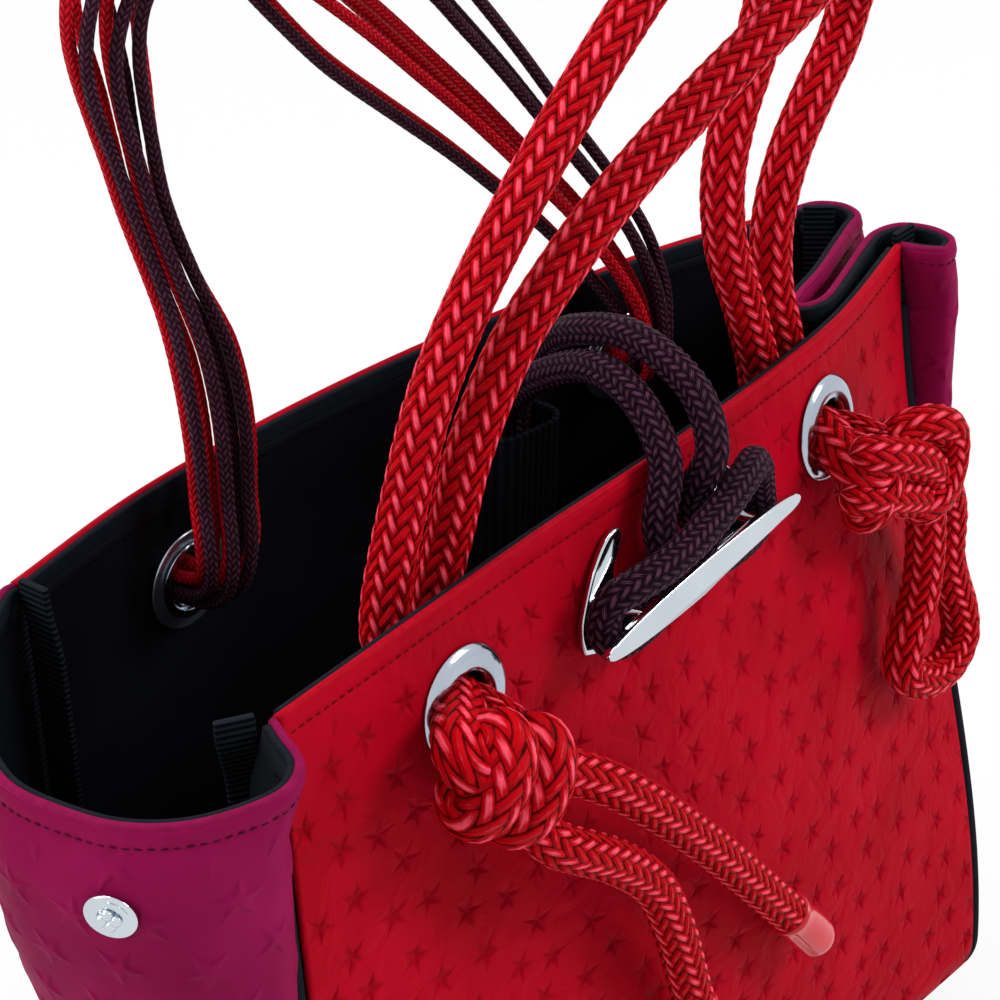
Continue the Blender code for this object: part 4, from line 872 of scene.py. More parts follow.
# Piping and seam tape
tape = {"width": 0.009, "thickness": 0.0018, "allowance": 0.0009, "rise": 0.003, "turnStart": 0.25,
        "turnSpan": 0.3, "baseRoot": (-0.0006, 0.0046), "baseWay": (-0.7, 0.7), "bevel": 0.0005}
# Panel, side, root at the rim, root below the seam's start, and the way the strip leans at the rim
tapes = {"front_left_binding": ("front", -1, (0.0044, 0.0027), (0.0003, 0.0058), (0.86, 0.5)),
         "front_right_binding": ("front", 1, (0.0008, 0.003), (0.0006, 0.0056), (1.0, 0.0)),
         "rear_left_binding": ("rear", -1, (-0.0002, 0.0036), (-0.0006, 0.0056), (-0.05, 1.0)),
         "rear_right_binding": ("rear", 1, (0.0009, 0.0054), (0.0009, 0.006), (0.6, 0.8))}


def pipingPiece(side, gusset):
    # Down the front seam, along the bottom and up the rear seam, thin at both ends
    radius = bag["piping"] / 2
    x = side * (halfWidth + bag["gap"] + radius)
    arc = bag["corner"] - radius
    top = rowAt(bag["pipingDrop"])
    rows = np.concatenate([[top, top + rowAt(radius * 0.25), top + rowAt(radius * 0.6)],
                           np.linspace(top + rowAt(radius), 1.0, 60)])
    wide = np.concatenate([[0.35, 0.75, 0.95], np.ones(60)]) * radius
    turns = np.linspace(0, math.pi / 2, 13)[1:]
    path = [(x, front(side, v)[1] + radius, float(heightAt(v)), r) for v, r in zip(rows, wide)]
    corner = [(x, -flatHalf - arc * math.cos(t), bag["corner"] - arc * math.sin(t), radius) for t in turns]
    path += corner + [(x, y, radius, radius) for y in np.linspace(-flatHalf, flatHalf, 16)[1:-1]]
    path += [(a, -b, c, r) for a, b, c, r in reversed(corner)]
    path += [(x, rear(side, v)[1] - radius, float(heightAt(v)), r) for v, r in zip(rows[::-1], wide[::-1])]
    mesh = tubeMesh(f"{gusset}Piping", np.array(path), 16)
    finish(f"{gusset}_piping_cord", mesh, navyPiping, "navy_tape", f"{gusset}_piping")


def bindingPiece(name):
    where, side, rimRoot, lowRoot, rimWay = tapes[name]
    inward = -1.0 if where == "rear" else 1.0
    vs = np.concatenate([np.linspace(-rowAt(tape["rise"]), 0.6, 120), np.linspace(0.6, 0.99, 40)[1:]])

    def spot(c, v):
        down, seam = ease(v)[:, None], seamRamp(np.maximum(v, 0))[:, None]
        root = np.array(rimRoot) * (1 - seam) + np.array(lowRoot) * seam
        root = root * (1 - down) + np.array(tape["baseRoot"]) * down
        bend = ease((v - tape["turnStart"]) / tape["turnSpan"])[:, None]
        way = np.array(rimWay) * (1 - bend) + np.array(tape["baseWay"]) * bend
        way /= np.linalg.norm(way, axis=1, keepdims=True)
        at = root + way * tape["width"] * c[:, None]
        corner = sides[where][0](np.full_like(v, float(side)), np.maximum(v, 0))[:, 1]
        return np.stack([side * (halfWidth + at[:, 0]), corner + inward * at[:, 1], heightAt(v)], -1)

    columns = np.arange(9) / 8
    run = downLength(np.maximum(vs, 0)) + np.minimum(vs, 0) * sideHeight
    mesh = gridMesh(name, columns * tape["width"], run, lambda i, j: spot(columns[i], vs[j]))
    item = finish(f"{name}_tape", mesh, navyTape, "navy_tape", name)
    thicken(item, tape["thickness"], 0.0)
    edge = item.modifiers.new("edge", "BEVEL")
    edge.width = tape["bevel"]
    edge.segments = 2


def seamStrip(panel, side, gusset):
    # The seam allowance between a panel's side edge and the gusset's end, inside the piping
    depth = bag["cloth"] + bag["liningGap"]
    low = 0.0 if panel == "rear" else 1.0
    vs = np.linspace(rowAt(0.0015), 0.97, 90)
    near = inside(panel, depth)(np.full_like(vs, side * 0.992), vs)
    far = inside(gusset, depth)(np.full_like(vs, low), vs)
    columns = np.arange(5) / 4
    mesh = gridMesh(f"{panel}{gusset}Allowance", columns * tape["width"], downLength(vs),
                    lambda i, j: near[j] + (far[j] - near[j]) * columns[i][:, None])
    item = finish(f"{panel}_{gusset}_allowance", mesh, navyTape, "navy_tape", f"{panel}_{gusset}_binding")
    thicken(item, tape["allowance"], 0.0)


for gusset, side in sideOf.items():
    pipingPiece(side, gusset)
for name in tapes:
    bindingPiece(name)
for panel in ("front", "rear"):
    for gusset, side in sideOf.items():
        seamStrip(panel, side, gusset)
print("piping and bindings made")


# Eyelets and snaps
def eyeletPieces(name):
    matrix, tall = eyeletFrames[name]
    s = eyeletShape
    washerMatrix, washerTall = discFrame(f"{name}_eyelet_washer", eyelets[name][1])
    low = (washerMatrix.translation - matrix.translation).dot(matrix.col[2].xyz)
    seat = tall - 0.0022
    bore, barrel, radius = s["bore"], s["barrel"], s["radius"]
    profile = [(bore, tall - 0.0013), (bore + 0.0007, tall - 0.0004), (bore + 0.0022, tall),
               (radius - 0.0028, tall - 0.0001), (radius - 0.001, tall - 0.0008),
               (radius - 0.0001, tall - 0.0017), (radius, seat), (radius - 0.0004, seat),
               (barrel, seat), (barrel, low - 0.0003), (barrel + 0.0014, low - 0.0003),
               (barrel + 0.0018, low - 0.0008), (barrel + 0.0006, 0.0), (bore + 0.0003, 0.0002),
               (bore, 0.0012)]
    mesh = spunMesh(f"{name}_eyelet_ring", rounded(profile, 0.0006), matrix, 72, closed=True)
    finish(f"{name}_eyelet_ring", mesh, plain["eyeletMetal"], "chrome", f"{name}_eyelet")
    inner, outer = barrel + 0.0003, s["washer"]
    ring = [(inner, 0.0), (outer - 0.0004, 0.0), (outer, washerTall / 2), (outer - 0.0004, washerTall),
            (inner, washerTall)]
    mesh = spunMesh(f"{name}_washer_ring", rounded(ring, 0.0002), washerMatrix, 64, closed=True)
    finish(f"{name}_washer_ring", mesh, plain["washerMetal"], "chrome", f"{name}_eyelet_washer")


# Ball lobes of each half: how far out they sit, their radius and their height
snapShape = {"radius": 0.006, "post": 0.0012, "lobes": 4, "stud": (0.0016, 0.00135, 0.0015),
             "socket": (0.0019, 0.00075, 0.001), "flat": 0.7}


def snapPiece(node, hint):
    matrix, tall = discFrame(node, hint)
    kind = node.split("_")[-1]
    r, post = snapShape["radius"], snapShape["post"]
    flange = [(0.0, 0.0), (r - 0.0002, 0.0), (r, 0.0003), (r - 0.0003, 0.0007), (r - 0.001, 0.0008)]
    profiles = {
        "cap": [(0.0, 0.0), (r * 0.6, 0.0001), (r * 0.85, 0.0005), (r, 0.0011), (r - 0.0001, 0.0015),
                (post, 0.0016), (post, tall), (0.0, tall)],
        "stud": flange + [(r - 0.0016, 0.0006), (0.0037, 0.0006), (0.0033, 0.0009), (0.0029, 0.001),
                          (0.0026, 0.0008), (0.001, 0.0012), (0.0, tall - 0.0006)],
        "socket": flange + [(r - 0.0016, 0.0005), (0.0042, 0.0006), (0.004, tall - 0.0005), (0.0035, tall),
                            (0.0029, tall - 0.0002), (0.0025, tall - 0.001), (0.0024, 0.0008), (0.0, 0.0007)]}
    mesh = spunMesh(f"{node}_metal", profiles[kind], matrix, 48)
    if kind in snapShape:
        reach, size, lift = snapShape[kind]
        form = bmesh.new()
        form.from_mesh(mesh)
        for k in range(snapShape["lobes"]):
            angle = math.pi / 4 + k * 2 * math.pi / snapShape["lobes"]
            spot = Matrix.Translation((reach * math.cos(angle), reach * math.sin(angle), lift))
            flat = Matrix.Diagonal((1, 1, snapShape["flat"], 1))
            bmesh.ops.create_uvsphere(form, u_segments=16, v_segments=10, radius=size,
                                      matrix=matrix @ spot @ flat)
        mesh = meshFrom(form, f"{node}_metal")
    finish(f"{node}_metal", mesh, plain["polishedMetal"], "chrome", node)


for name in eyelets:
    eyeletPieces(name)
leftOut, rightOut = np.array((-1.0, -0.4, 0.0)), np.array((0.0, 1.0, 0.0))
for side, studWay, socketWay in (("left", leftOut, leftOut), ("right", rightOut, -rightOut)):
    for cap in ("", "_cap"):
        snapPiece(f"{side}_snap_stud{cap}", studWay)
        snapPiece(f"{side}_snap_socket{cap}", socketWay)
print("eyelets and snaps made")


# Cleat: plate, two posts and a leaf-shaped bar in one casting
cleat = {"x": -0.001, "z": 0.222, "tilt": 4.5, "plate": 0.002, "space": 0.0092, "bar": 0.0024,
         "halfLength": 0.0405, "halfHeight": 0.0041, "post": 0.002, "postX": 0.024, "postY": 0.0015,
         "facet": 0.0011, "facetStart": -0.004, "facetSpan": 0.016, "facetEnd": 0.01, "plateBevel": 0.0006,
         "barBevel": 0.00045, "barEnds": 0.8,
         "upper": ((-0.0362, -0.0046), (-0.0358, 0.0015), (-0.0318, 0.0085), (-0.0262, 0.0155),
                   (-0.0205, 0.0198), (-0.0165, 0.0203), (-0.0155, 0.0185), (-0.0172, 0.015),
                   (-0.0205, 0.011), (-0.0205, 0.006), (-0.0155, 0.002), (-0.011, 0.001),
                   (-0.006, 0.0035), (0.0, 0.007)),
         "lower": ((-0.03, -0.0074), (-0.015, -0.0084), (0.0, -0.0086))}


def cleatFrame():
    # The cleat's own axes: X along the bar, Y up the cloth, Z out of it; its foot is where the model has it
    u, v = cleat["x"] / halfWidth, (bag["rim"] - cleat["z"]) / sideHeight
    z = Vector(outward("front", u, v))
    down = Vector(front(u, v + uvStep) - front(u, v - uvStep))
    y = -down.normalized()
    x = y.cross(z).normalized()
    y = z.cross(x)
    matrix = frameAt(Vector(front(u, v)), x, y, z) @ Matrix.Rotation(math.radians(cleat["tilt"]), 4, "Z")
    foot = ((nodePoints("cleat") - np.array(matrix.translation)) @ np.array(z)).min()
    return matrix @ Matrix.Translation((0, 0, foot))


def blockForm(outline, low, high, bevel, segments=3):
    # An outline in X and Y made a solid block with rounded edges
    form = bmesh.new()
    verts = [form.verts.new((x, y, low)) for x, y in outline]
    edges = [form.edges.new(pair) for pair in zip(verts, verts[1:] + verts[:1])]
    bmesh.ops.triangle_fill(form, edges=edges, use_beauty=True)
    bmesh.ops.dissolve_limit(form, angle_limit=0.01, verts=form.verts[:], edges=form.edges[:])
    pushed = bmesh.ops.extrude_face_region(form, geom=form.faces[:])["geom"]
    risen = [g for g in pushed if isinstance(g, bmesh.types.BMVert)]
    bmesh.ops.translate(form, verts=risen, vec=(0, 0, high - low))
    bmesh.ops.recalc_face_normals(form, faces=form.faces)
    sharp = [e for e in form.edges if len(e.link_faces) == 2 and e.calc_face_angle() > 0.9]
    bmesh.ops.bevel(form, geom=sharp, offset=bevel, offset_type="OFFSET", segments=segments, profile=0.5,
                    affect="EDGES", material=-1)
    return form


def cleatPiece():
    matrix = cleatFrame()
    upper, lower = list(cleat["upper"]), list(cleat["lower"])
    top = upper + [(-x, y) for x, y in reversed(upper[:-1])]
    low = [(-x, y) for x, y in lower[:-1]] + lower[::-1]
    curve = curveThrough([(*p, 0.0) for p in top], 4)[:, :2]
    plate = blockForm([tuple(p) for p in curve] + low, 0.0, cleat["plate"], cleat["plateBevel"])
    base = cleat["plate"] + cleat["space"]
    edge = []
    for turn in np.linspace(0, 2 * math.pi, 97)[:-1]:
        y = math.sin(turn)
        y = math.copysign(abs(y) ** cleat["barEnds"], y)
        edge.append((cleat["halfLength"] * math.cos(turn), cleat["halfHeight"] * y))
    bar = blockForm(edge, base, base + cleat["bar"], cleat["barBevel"])
    for vert in bar.verts:
        # The lower half of the bar's face slopes back in a long facet
        x, y, z = vert.co
        share = float(ease((x - cleat["facetStart"]) / cleat["facetSpan"]))
        share *= float(ease((cleat["halfLength"] - x) / cleat["facetEnd"]))
        if y < 0 and z > base + cleat["bar"] / 2:
            vert.co.z -= cleat["facet"] * share * min(1.0, -y / cleat["halfHeight"])
    plate.from_mesh(meshFrom(bar, "bar"))
    for side in (-1, 1):
        spot = Matrix.Translation((side * cleat["postX"], cleat["postY"], (cleat["plate"] + base) / 2))
        bmesh.ops.create_cone(plate, cap_ends=False, segments=40, radius1=cleat["post"],
                              radius2=cleat["post"], depth=cleat["space"] + 0.001, matrix=spot)
    bmesh.ops.transform(plate, matrix=matrix, verts=plate.verts)
    mesh = meshFrom(plate, "cleatMetal")
    finish("cleat_metal", mesh, plain["polishedMetal"], "chrome", "cleat")
    mesh.set_sharp_from_angle(angle=math.radians(38))
    return matrix


cleatMatrix = cleatPiece()


def inCleat(points):
    return [tuple(cleatMatrix @ Vector(p)) for p in points]


print("cleat made")


# Ropes
strandA = (
    (-0.081, -0.057, 0.2215, 0.0034), (-0.081, -0.0494, 0.2225, 0.0034),
    (-0.081, -0.042, 0.2225, 0.0034), (-0.0811, -0.0355, 0.2226, 0.0034),
    (-0.082, -0.0305, 0.2258, 0.004), (-0.0833, -0.0275, 0.231, 0.005), (-0.084, -0.0265, 0.2375),
    (-0.0828, -0.0265, 0.2465), (-0.0802, -0.027, 0.2562), (-0.0757, -0.028, 0.2702),
    (-0.0677, -0.03, 0.293), (-0.0552, -0.032, 0.3134), (-0.0396, -0.034, 0.3323),
    (-0.023, -0.035, 0.3483), (-0.0046, -0.036, 0.3639), (0.02, -0.0345, 0.378),
    (0.044, -0.031, 0.381), (0.061, -0.0265, 0.3715), (0.0665, -0.023, 0.354),
    (0.0609, -0.022, 0.3329), (0.0529, -0.022, 0.319), (0.048, -0.022, 0.304),
    (0.0486, -0.022, 0.2862), (0.0567, -0.022, 0.2634), (0.0632, -0.0212, 0.245),
    (0.0658, -0.02, 0.2375), (0.0684, -0.0197, 0.2312, 0.0046), (0.0698, -0.0215, 0.2262, 0.0038),
    (0.0709, -0.025, 0.224, 0.0034), (0.0716, -0.029, 0.224, 0.0034),
    (0.0724, -0.033, 0.2245, 0.0034), (0.0733, -0.0408, 0.2251, 0.0034),
    (0.0736, -0.048, 0.2245, 0.0034),
)
strandB = (
    (-0.0734, -0.057, 0.221, 0.0034), (-0.0734, -0.0494, 0.2225, 0.0034),
    (-0.0734, -0.042, 0.2225, 0.0034), (-0.0734, -0.0355, 0.2226, 0.0034),
    (-0.0724, -0.0305, 0.2258, 0.004), (-0.0704, -0.0275, 0.231, 0.005), (-0.0676, -0.0265, 0.2375),
    (-0.0648, -0.0266, 0.245), (-0.0618, -0.027, 0.2527), (-0.0559, -0.03, 0.275),
    (-0.0441, -0.033, 0.2967), (-0.0295, -0.036, 0.3119), (-0.0102, -0.038, 0.3252),
    (0.0167, -0.04, 0.3387), (0.0406, -0.042, 0.3488), (0.062, -0.0415, 0.3555),
    (0.083, -0.0365, 0.357), (0.0985, -0.028, 0.349), (0.102, -0.0215, 0.335),
    (0.0982, -0.02, 0.3233), (0.0886, -0.02, 0.3128), (0.0781, -0.02, 0.2999),
    (0.0712, -0.02, 0.284), (0.0705, -0.02, 0.2663), (0.0758, -0.02, 0.245),
    (0.078, -0.019, 0.237, 0.005), (0.0784, -0.0185, 0.2312, 0.0042),
    (0.0782, -0.0203, 0.2262, 0.0036), (0.0783, -0.0245, 0.224, 0.0034),
    (0.079, -0.029, 0.224, 0.0034), (0.0798, -0.033, 0.2245, 0.0034),
    (0.0808, -0.0408, 0.2251, 0.0034), (0.0812, -0.048, 0.224, 0.0034),
)
tailA = (
    (-0.072, 0.01533, 0.208), (-0.06, 0.01608, 0.201), (-0.051, 0.01708, 0.194),
    (-0.0392, 0.01644, 0.1824), (-0.0139, 0.01244, 0.1545), (0.0079, 0.00963, 0.1281),
    (0.0246, 0.0085, 0.107),
)
tailB = (
    (-0.077, 0.0144, 0.199), (-0.07, 0.01705, 0.1875), (-0.061, 0.01779, 0.18),
    (-0.0516, 0.01732, 0.1722), (-0.0366, 0.01521, 0.156), (-0.028, 0.01306, 0.1377),
    (-0.0219, 0.01078, 0.1187), (-0.018, 0.00969, 0.105),
)
bight = (
    (0.098, 0.0185, 0.206), (0.1005, 0.01794, 0.193), (0.1008, 0.01563, 0.177),
    (0.0984, 0.01319, 0.1654), (0.0932, 0.01041, 0.1552), (0.0925, 0.00875, 0.145),
    (0.1025, 0.00959, 0.1368), (0.1155, 0.01148, 0.1352), (0.123, 0.0133, 0.1405),
    (0.1233, 0.01418, 0.1495), (0.1198, 0.01461, 0.1602), (0.1165, 0.01559, 0.1707),
    (0.115, 0.0189, 0.187), (0.1085, 0.01995, 0.201),
)


def hung(route):
    # The hanging ends' points give x, the distance in front of the cloth, and the height
    return [(x, float(front(x / halfWidth, rowAt(bag["rim"] - z))[1]) - away, z) for x, away, z in route]


def ropeMesh(name, route, kind, columns=42, step=0.0008, nose=0.0):
    # A braided rope along a route; a nose draws each end in to a dome of that length
    wide, relief, weave, _, _ = ropes[kind]
    route = [p if len(p) > 3 else (*p, wide / 2) for p in route]
    points = resampled(curveThrough(route, 16), step)
    if nose:
        run = runOf(points)
        end = np.clip(np.minimum(run, run[-1] - run) / nose, 0.0, 1.0)
        points[:, 3] *= np.maximum(np.sqrt(1 - (1 - end) ** 2), 0.05)

    def rise(turn, run):
        return relief * (braidAt(turn, run, weave)[0] - yarnShape["level"])

    return tubeMesh(name, points, columns, rise)


def woundPiece(name, node, kind, routes, **fine):
    # One piece of rope with a run or a turn along each route
    form = bmesh.new()
    for route in routes:
        form.from_mesh(ropeMesh(name, route, kind, **fine))
    finish(name, meshFrom(form, name), ropes[kind][3], ropes[kind][4], node)


def ringRoute(centre, a, b, halfA, halfB, low=0.0, high=360.0, lead=(0, 0, 0), count=18):
    # Points round an ellipse with half axes along a and b, drifting by lead
    centre, a, b, lead = (Vector(q) for q in (centre, a, b, lead))
    route = []
    for turn in np.linspace(math.radians(low), math.radians(high), count):
        share = (math.degrees(turn) - low) / (high - low) - 0.5
        route.append(tuple(centre + a * halfA * math.cos(turn) + b * halfB * math.sin(turn) + lead * share))
    return route


for name, route in (("strand_a", strandA), ("strand_b", strandB), ("tail_a", hung(tailA)),
                    ("tail_b", hung(tailB)), ("bight", hung(bight))):
    woundPiece(f"front_handle_{name}", f"front_rope_{name}", "thick", [route])


# Middle of each knot and its tilt. Its points are measured along it, up, and out of the cloth
knots = {"left": ((-0.0795, -0.0605, 0.21), 35.0), "right": ((0.084, -0.049, 0.212), 21.0),
         "nose": 0.006, "paired": 0.0076, "neck": 1.14, "neckReach": 0.004}
depthWay = Vector((0, -1, 0))
# Two strands run along the right knot, and one turn rises over its right end
rightTurns = (
    ((-0.021, 0.006, -0.001), (-0.013, 0.0065, 0.003), (-0.004, 0.006, 0.004), (0.006, 0.0045, 0.0042),
     (0.015, 0.001, 0.003), (0.02, -0.004, 0.001)),
    ((-0.021, -0.004, -0.001), (-0.013, -0.005, 0.002), (-0.004, -0.0052, 0.0032), (0.006, -0.006, 0.003),
     (0.014, -0.0075, 0.002), (0.018, -0.0115, 0.0)),
    ((0.002, 0.004, -0.005), (0.006, 0.0105, -0.002), (0.013, 0.0135, 0.0015), (0.0205, 0.012, 0.0025),
     (0.0245, 0.005, 0.0025), (0.0235, -0.003, 0.003), (0.0175, -0.008, 0.0035), (0.01, -0.01, 0.001)),
)


def knotFrame(side):
    centre, degrees = knots[side]
    c, s = math.cos(math.radians(degrees)), math.sin(math.radians(degrees))
    return Vector(centre), Vector((c, 0, -s)), Vector((s, 0, c))


def neck(name, *rest):
    # The two strands side by side fill the eyelet's bore and reach the knot as one thick turn
    matrix = eyeletFrames[name][0]
    spot, out = matrix.translation, matrix.col[2].xyz
    wide = ropes["thick"][0] / 2 * knots["neck"]
    return [(*p, wide) for p in (spot - out * knots["neckReach"], spot + out * knots["neckReach"], *rest)]


def leftKnot():
    # Two strands together make one turn round themselves: two turns side by side across the tails
    centre, t, n = knotFrame("left")
    rings = [ringRoute(centre - t * 0.0105, depthWay, n, 0.0042, 0.0083, -180, 180, t * 0.001),
             ringRoute(centre + t * 0.0048, depthWay, n, 0.0044, 0.0088, -180, 180, t * 0.001)]
    routes = [[(*p, knots["paired"]) for p in ring] for ring in rings]
    routes.append(neck("front_left", centre - t * 0.0195 + n * 0.003 - depthWay * 0.002, centre - t * 0.014,
                       centre - t * 0.004))
    woundPiece("front_left_rope_knot", "front_left_knot", "thick", routes, nose=knots["nose"])


def rightKnot():
    # The strands and the turn listed above, one more turn that passes under the left end, and the neck
    centre, t, n = knotFrame("right")
    routes = [[tuple(centre + t * a + n * b + depthWay * c) for a, b, c in turn] for turn in rightTurns]
    lower = centre - t * 0.0075 - n * 0.002
    routes += [ringRoute(lower, depthWay, n, 0.003, 0.0085, -150, 60, t * 0.004, 14),
               neck("front_right", centre - t * 0.015 + n * 0.002, centre - t * 0.004)]
    woundPiece("front_right_rope_knot", "front_right_knot", "thick", routes, nose=knots["nose"])


leftKnot()
rightKnot()


tipShape = {"length": 0.026, "radius": 0.0062, "collar": 0.0004, "slit": 0.0007, "slitStart": 0.002,
            "nose": 1.1}


def tipPiece(name, node, route):
    # A moulded end with a rolled collar, a straight slit along it and a round nose
    dense = curveThrough([(*p, 0.0) for p in route])[:, :3]
    way = Vector(dense[-1] - dense[-3]).normalized()
    side = way.orthogonal().normalized()
    matrix = frameAt(Vector(dense[-1]) + way * bag["gap"], side, way.cross(side), way)
    r, tall, collar = tipShape["radius"], tipShape["length"], tipShape["collar"]
    nose = r * tipShape["nose"]
    profile = [(0.0, 0.0), (r * 0.9, 0.0), (r + collar * 0.2, 0.0004), (r + collar * 0.4, 0.0012),
               (r * 0.985, 0.0022), (r * 0.97, 0.006), (r, 0.012), (r, tall - nose)]
    turns = np.linspace(0, math.pi / 2, 12)[1:]
    profile += [(r * math.cos(a), tall - nose + nose * math.sin(a)) for a in turns]
    form = bmesh.new()
    form.from_mesh(spunMesh(name, profile, Matrix.Identity(4), 64))
    for vert in form.verts:
        x, y, z = vert.co
        if x > 0 and abs(y) < tipShape["slit"] and tipShape["slitStart"] < z < tall - nose:
            vert.co.x -= tipShape["slit"]
    bmesh.ops.transform(form, matrix=matrix, verts=form.verts)
    finish(name, meshFrom(form, name), plain["redPlastic"], "red_plastic", node)


tipPiece("front_handle_tip_a", "front_rope_tip_a", hung(tailA))
tipPiece("front_handle_tip_b", "front_rope_tip_b", hung(tailB))
print("front handle made")


# Closure rope, its sleeve and its knot
sleeve = {"x": 0.025, "width": 0.0222, "stand": 0.0222, "corner": 0.006, "flange": 0.008, "wall": 0.0016,
          "top": 0.228, "height": 0.038, "lowTurn": 0.58, "away": 0.015, "below": 0.002,
          "rises": (0.0, 0.015, 0.028), "knotDrop": 0.0095, "clothGap": 0.0008, "step": 0.0007}
axes = [Vector(way) for way in ((1, 0, 0), (0, 1, 0), (0, 0, 1))]
closureOut = (
    (0.017, 0.024, 0.24), (0.012, 0.008, 0.254), (0.007, -0.015, 0.265),
    (0.002, -0.033, 0.262), (-0.003, -0.044, 0.252),
)
closureHitch = (
    (-0.007, 0.017, 0.0066), (-0.007, 0.008, 0.0066), (-0.0072, 0.0005, 0.0066),
    (-0.0095, -0.0055, 0.0066), (-0.0155, -0.008, 0.0066), (-0.024, -0.0082, 0.0066),
    (-0.0302, -0.0055, 0.0066), (-0.033, 0.0, 0.0066), (-0.033, 0.0055, 0.0072),
    (-0.031, 0.01, 0.0095), (-0.026, 0.012, 0.0128), (-0.018, 0.0128, 0.0152),
    (-0.01, 0.0136, 0.0162), (-0.002, 0.0148, 0.0164), (0.006, 0.0162, 0.0163),
    (0.014, 0.0176, 0.0154), (0.0215, 0.0182, 0.0136), (0.0275, 0.0165, 0.0108),
    (0.031, 0.012, 0.0086), (0.0322, 0.006, 0.007), (0.032, 0.0, 0.0066),
    (0.0295, -0.0055, 0.0066), (0.024, -0.0082, 0.0066), (0.016, -0.008, 0.0066),
    (0.0098, -0.0055, 0.0066), (0.0074, 0.0005, 0.0066), (0.007, 0.008, 0.0066),
    (0.0065, 0.017, 0.0066),
)
closureBack = (
    (0.0075, -0.05, 0.253), (0.0115, -0.042, 0.265), (0.015, -0.02, 0.272),
    (0.018, 0.002, 0.266), (0.022, 0.012, 0.259), (0.027, 0.025, 0.245),
)


def closurePieces():
    half = sleeve["width"] / 2 - sleeve["wall"] - ropes["closure"][0] / 2 - bag["gap"]
    middle = rear(sleeve["x"] / halfWidth, rowAt(bag["rim"] - sleeve["top"]))[1] - sleeve["away"]
    low = sleeve["top"] - sleeve["height"] - sleeve["below"]
    heights = [low + rise for rise in sleeve["rises"]] + [sleeve["top"]]
    start, end = ([(x, middle, z) for z in heights] for x in (sleeve["x"] - half, sleeve["x"] + half))
    hitch = inCleat([(a, b if b > 0 else b * sleeve["lowTurn"], c) for a, b, c in closureHitch])
    route = start + list(closureOut) + hitch + list(closureBack) + end[::-1]
    woundPiece("closure_rope_loop", "closure_rope", "closure", [route], columns=36, step=0.0007)
    centre = Vector((sleeve["x"], middle, low - bag["gap"] - sleeve["knotDrop"]))
    x, y, z = axes
    routes = [ringRoute(centre + x * 0.0042, y, z, 0.006, 0.0052, 0, 350, x * 0.002),
              ringRoute(centre - x * 0.0042, y, z, 0.006, 0.0052, 180, 530, -x * 0.002),
              ringRoute(centre - z * 0.001, x, y, 0.007, 0.0062, 20, 340, z * 0.003)]
    woundPiece("closure_knot_turns", "closure_rope_knot", "closure", routes, columns=32, step=0.0009)


def sleevePiece():
    half, stand, corner = sleeve["width"] / 2, sleeve["stand"], sleeve["corner"]
    plan = [(-half - sleeve["flange"], 0.0), (-half - 0.003, 0.0), (-half - 0.0006, 0.001), (-half, 0.004)]
    plan += [(-half + corner + corner * math.cos(t), stand - corner + corner * math.sin(t))
             for t in np.linspace(math.pi, math.pi / 2, 7)]
    plan += [(-x, y) for x, y in reversed(plan)]
    plan = resampled(np.array(plan), sleeve["step"])
    drop = bag["rim"] - sleeve["top"]
    rows = np.linspace(rowAt(drop), rowAt(drop + sleeve["height"]), 41)
    lined = inside("rear", linedDepth + sleeve["clothGap"])

    def place(i, j):
        spot = lined((sleeve["x"] + plan[i, 0]) / halfWidth, rows[j])
        spot[:, 1] -= plan[i, 1]
        return spot

    mesh = gridMesh("sleeveWeb", runOf(plan), downLength(rows), place)
    item = finish("closure_sleeve_web", mesh, navyWeb, "navy_tape", "closure_sleeve")
    thicken(item, sleeve["wall"])


closurePieces()
sleevePiece()
print("closure made")


# Rear handle: eight thin cords in a bundle
bundle = {"ring": 0.0049, "startAngle": 13.0, "roll": -120.0, "rollStart": 0.41, "rollSpan": 0.18,
          "plum": (1, 3, 6, 7), "ringOrder": (8, 6, 3, 1, 2, 5, 7), "middle": 4, "pick": 3,
          "knotPitch": 0.0046, "knotShift": 0.0012}
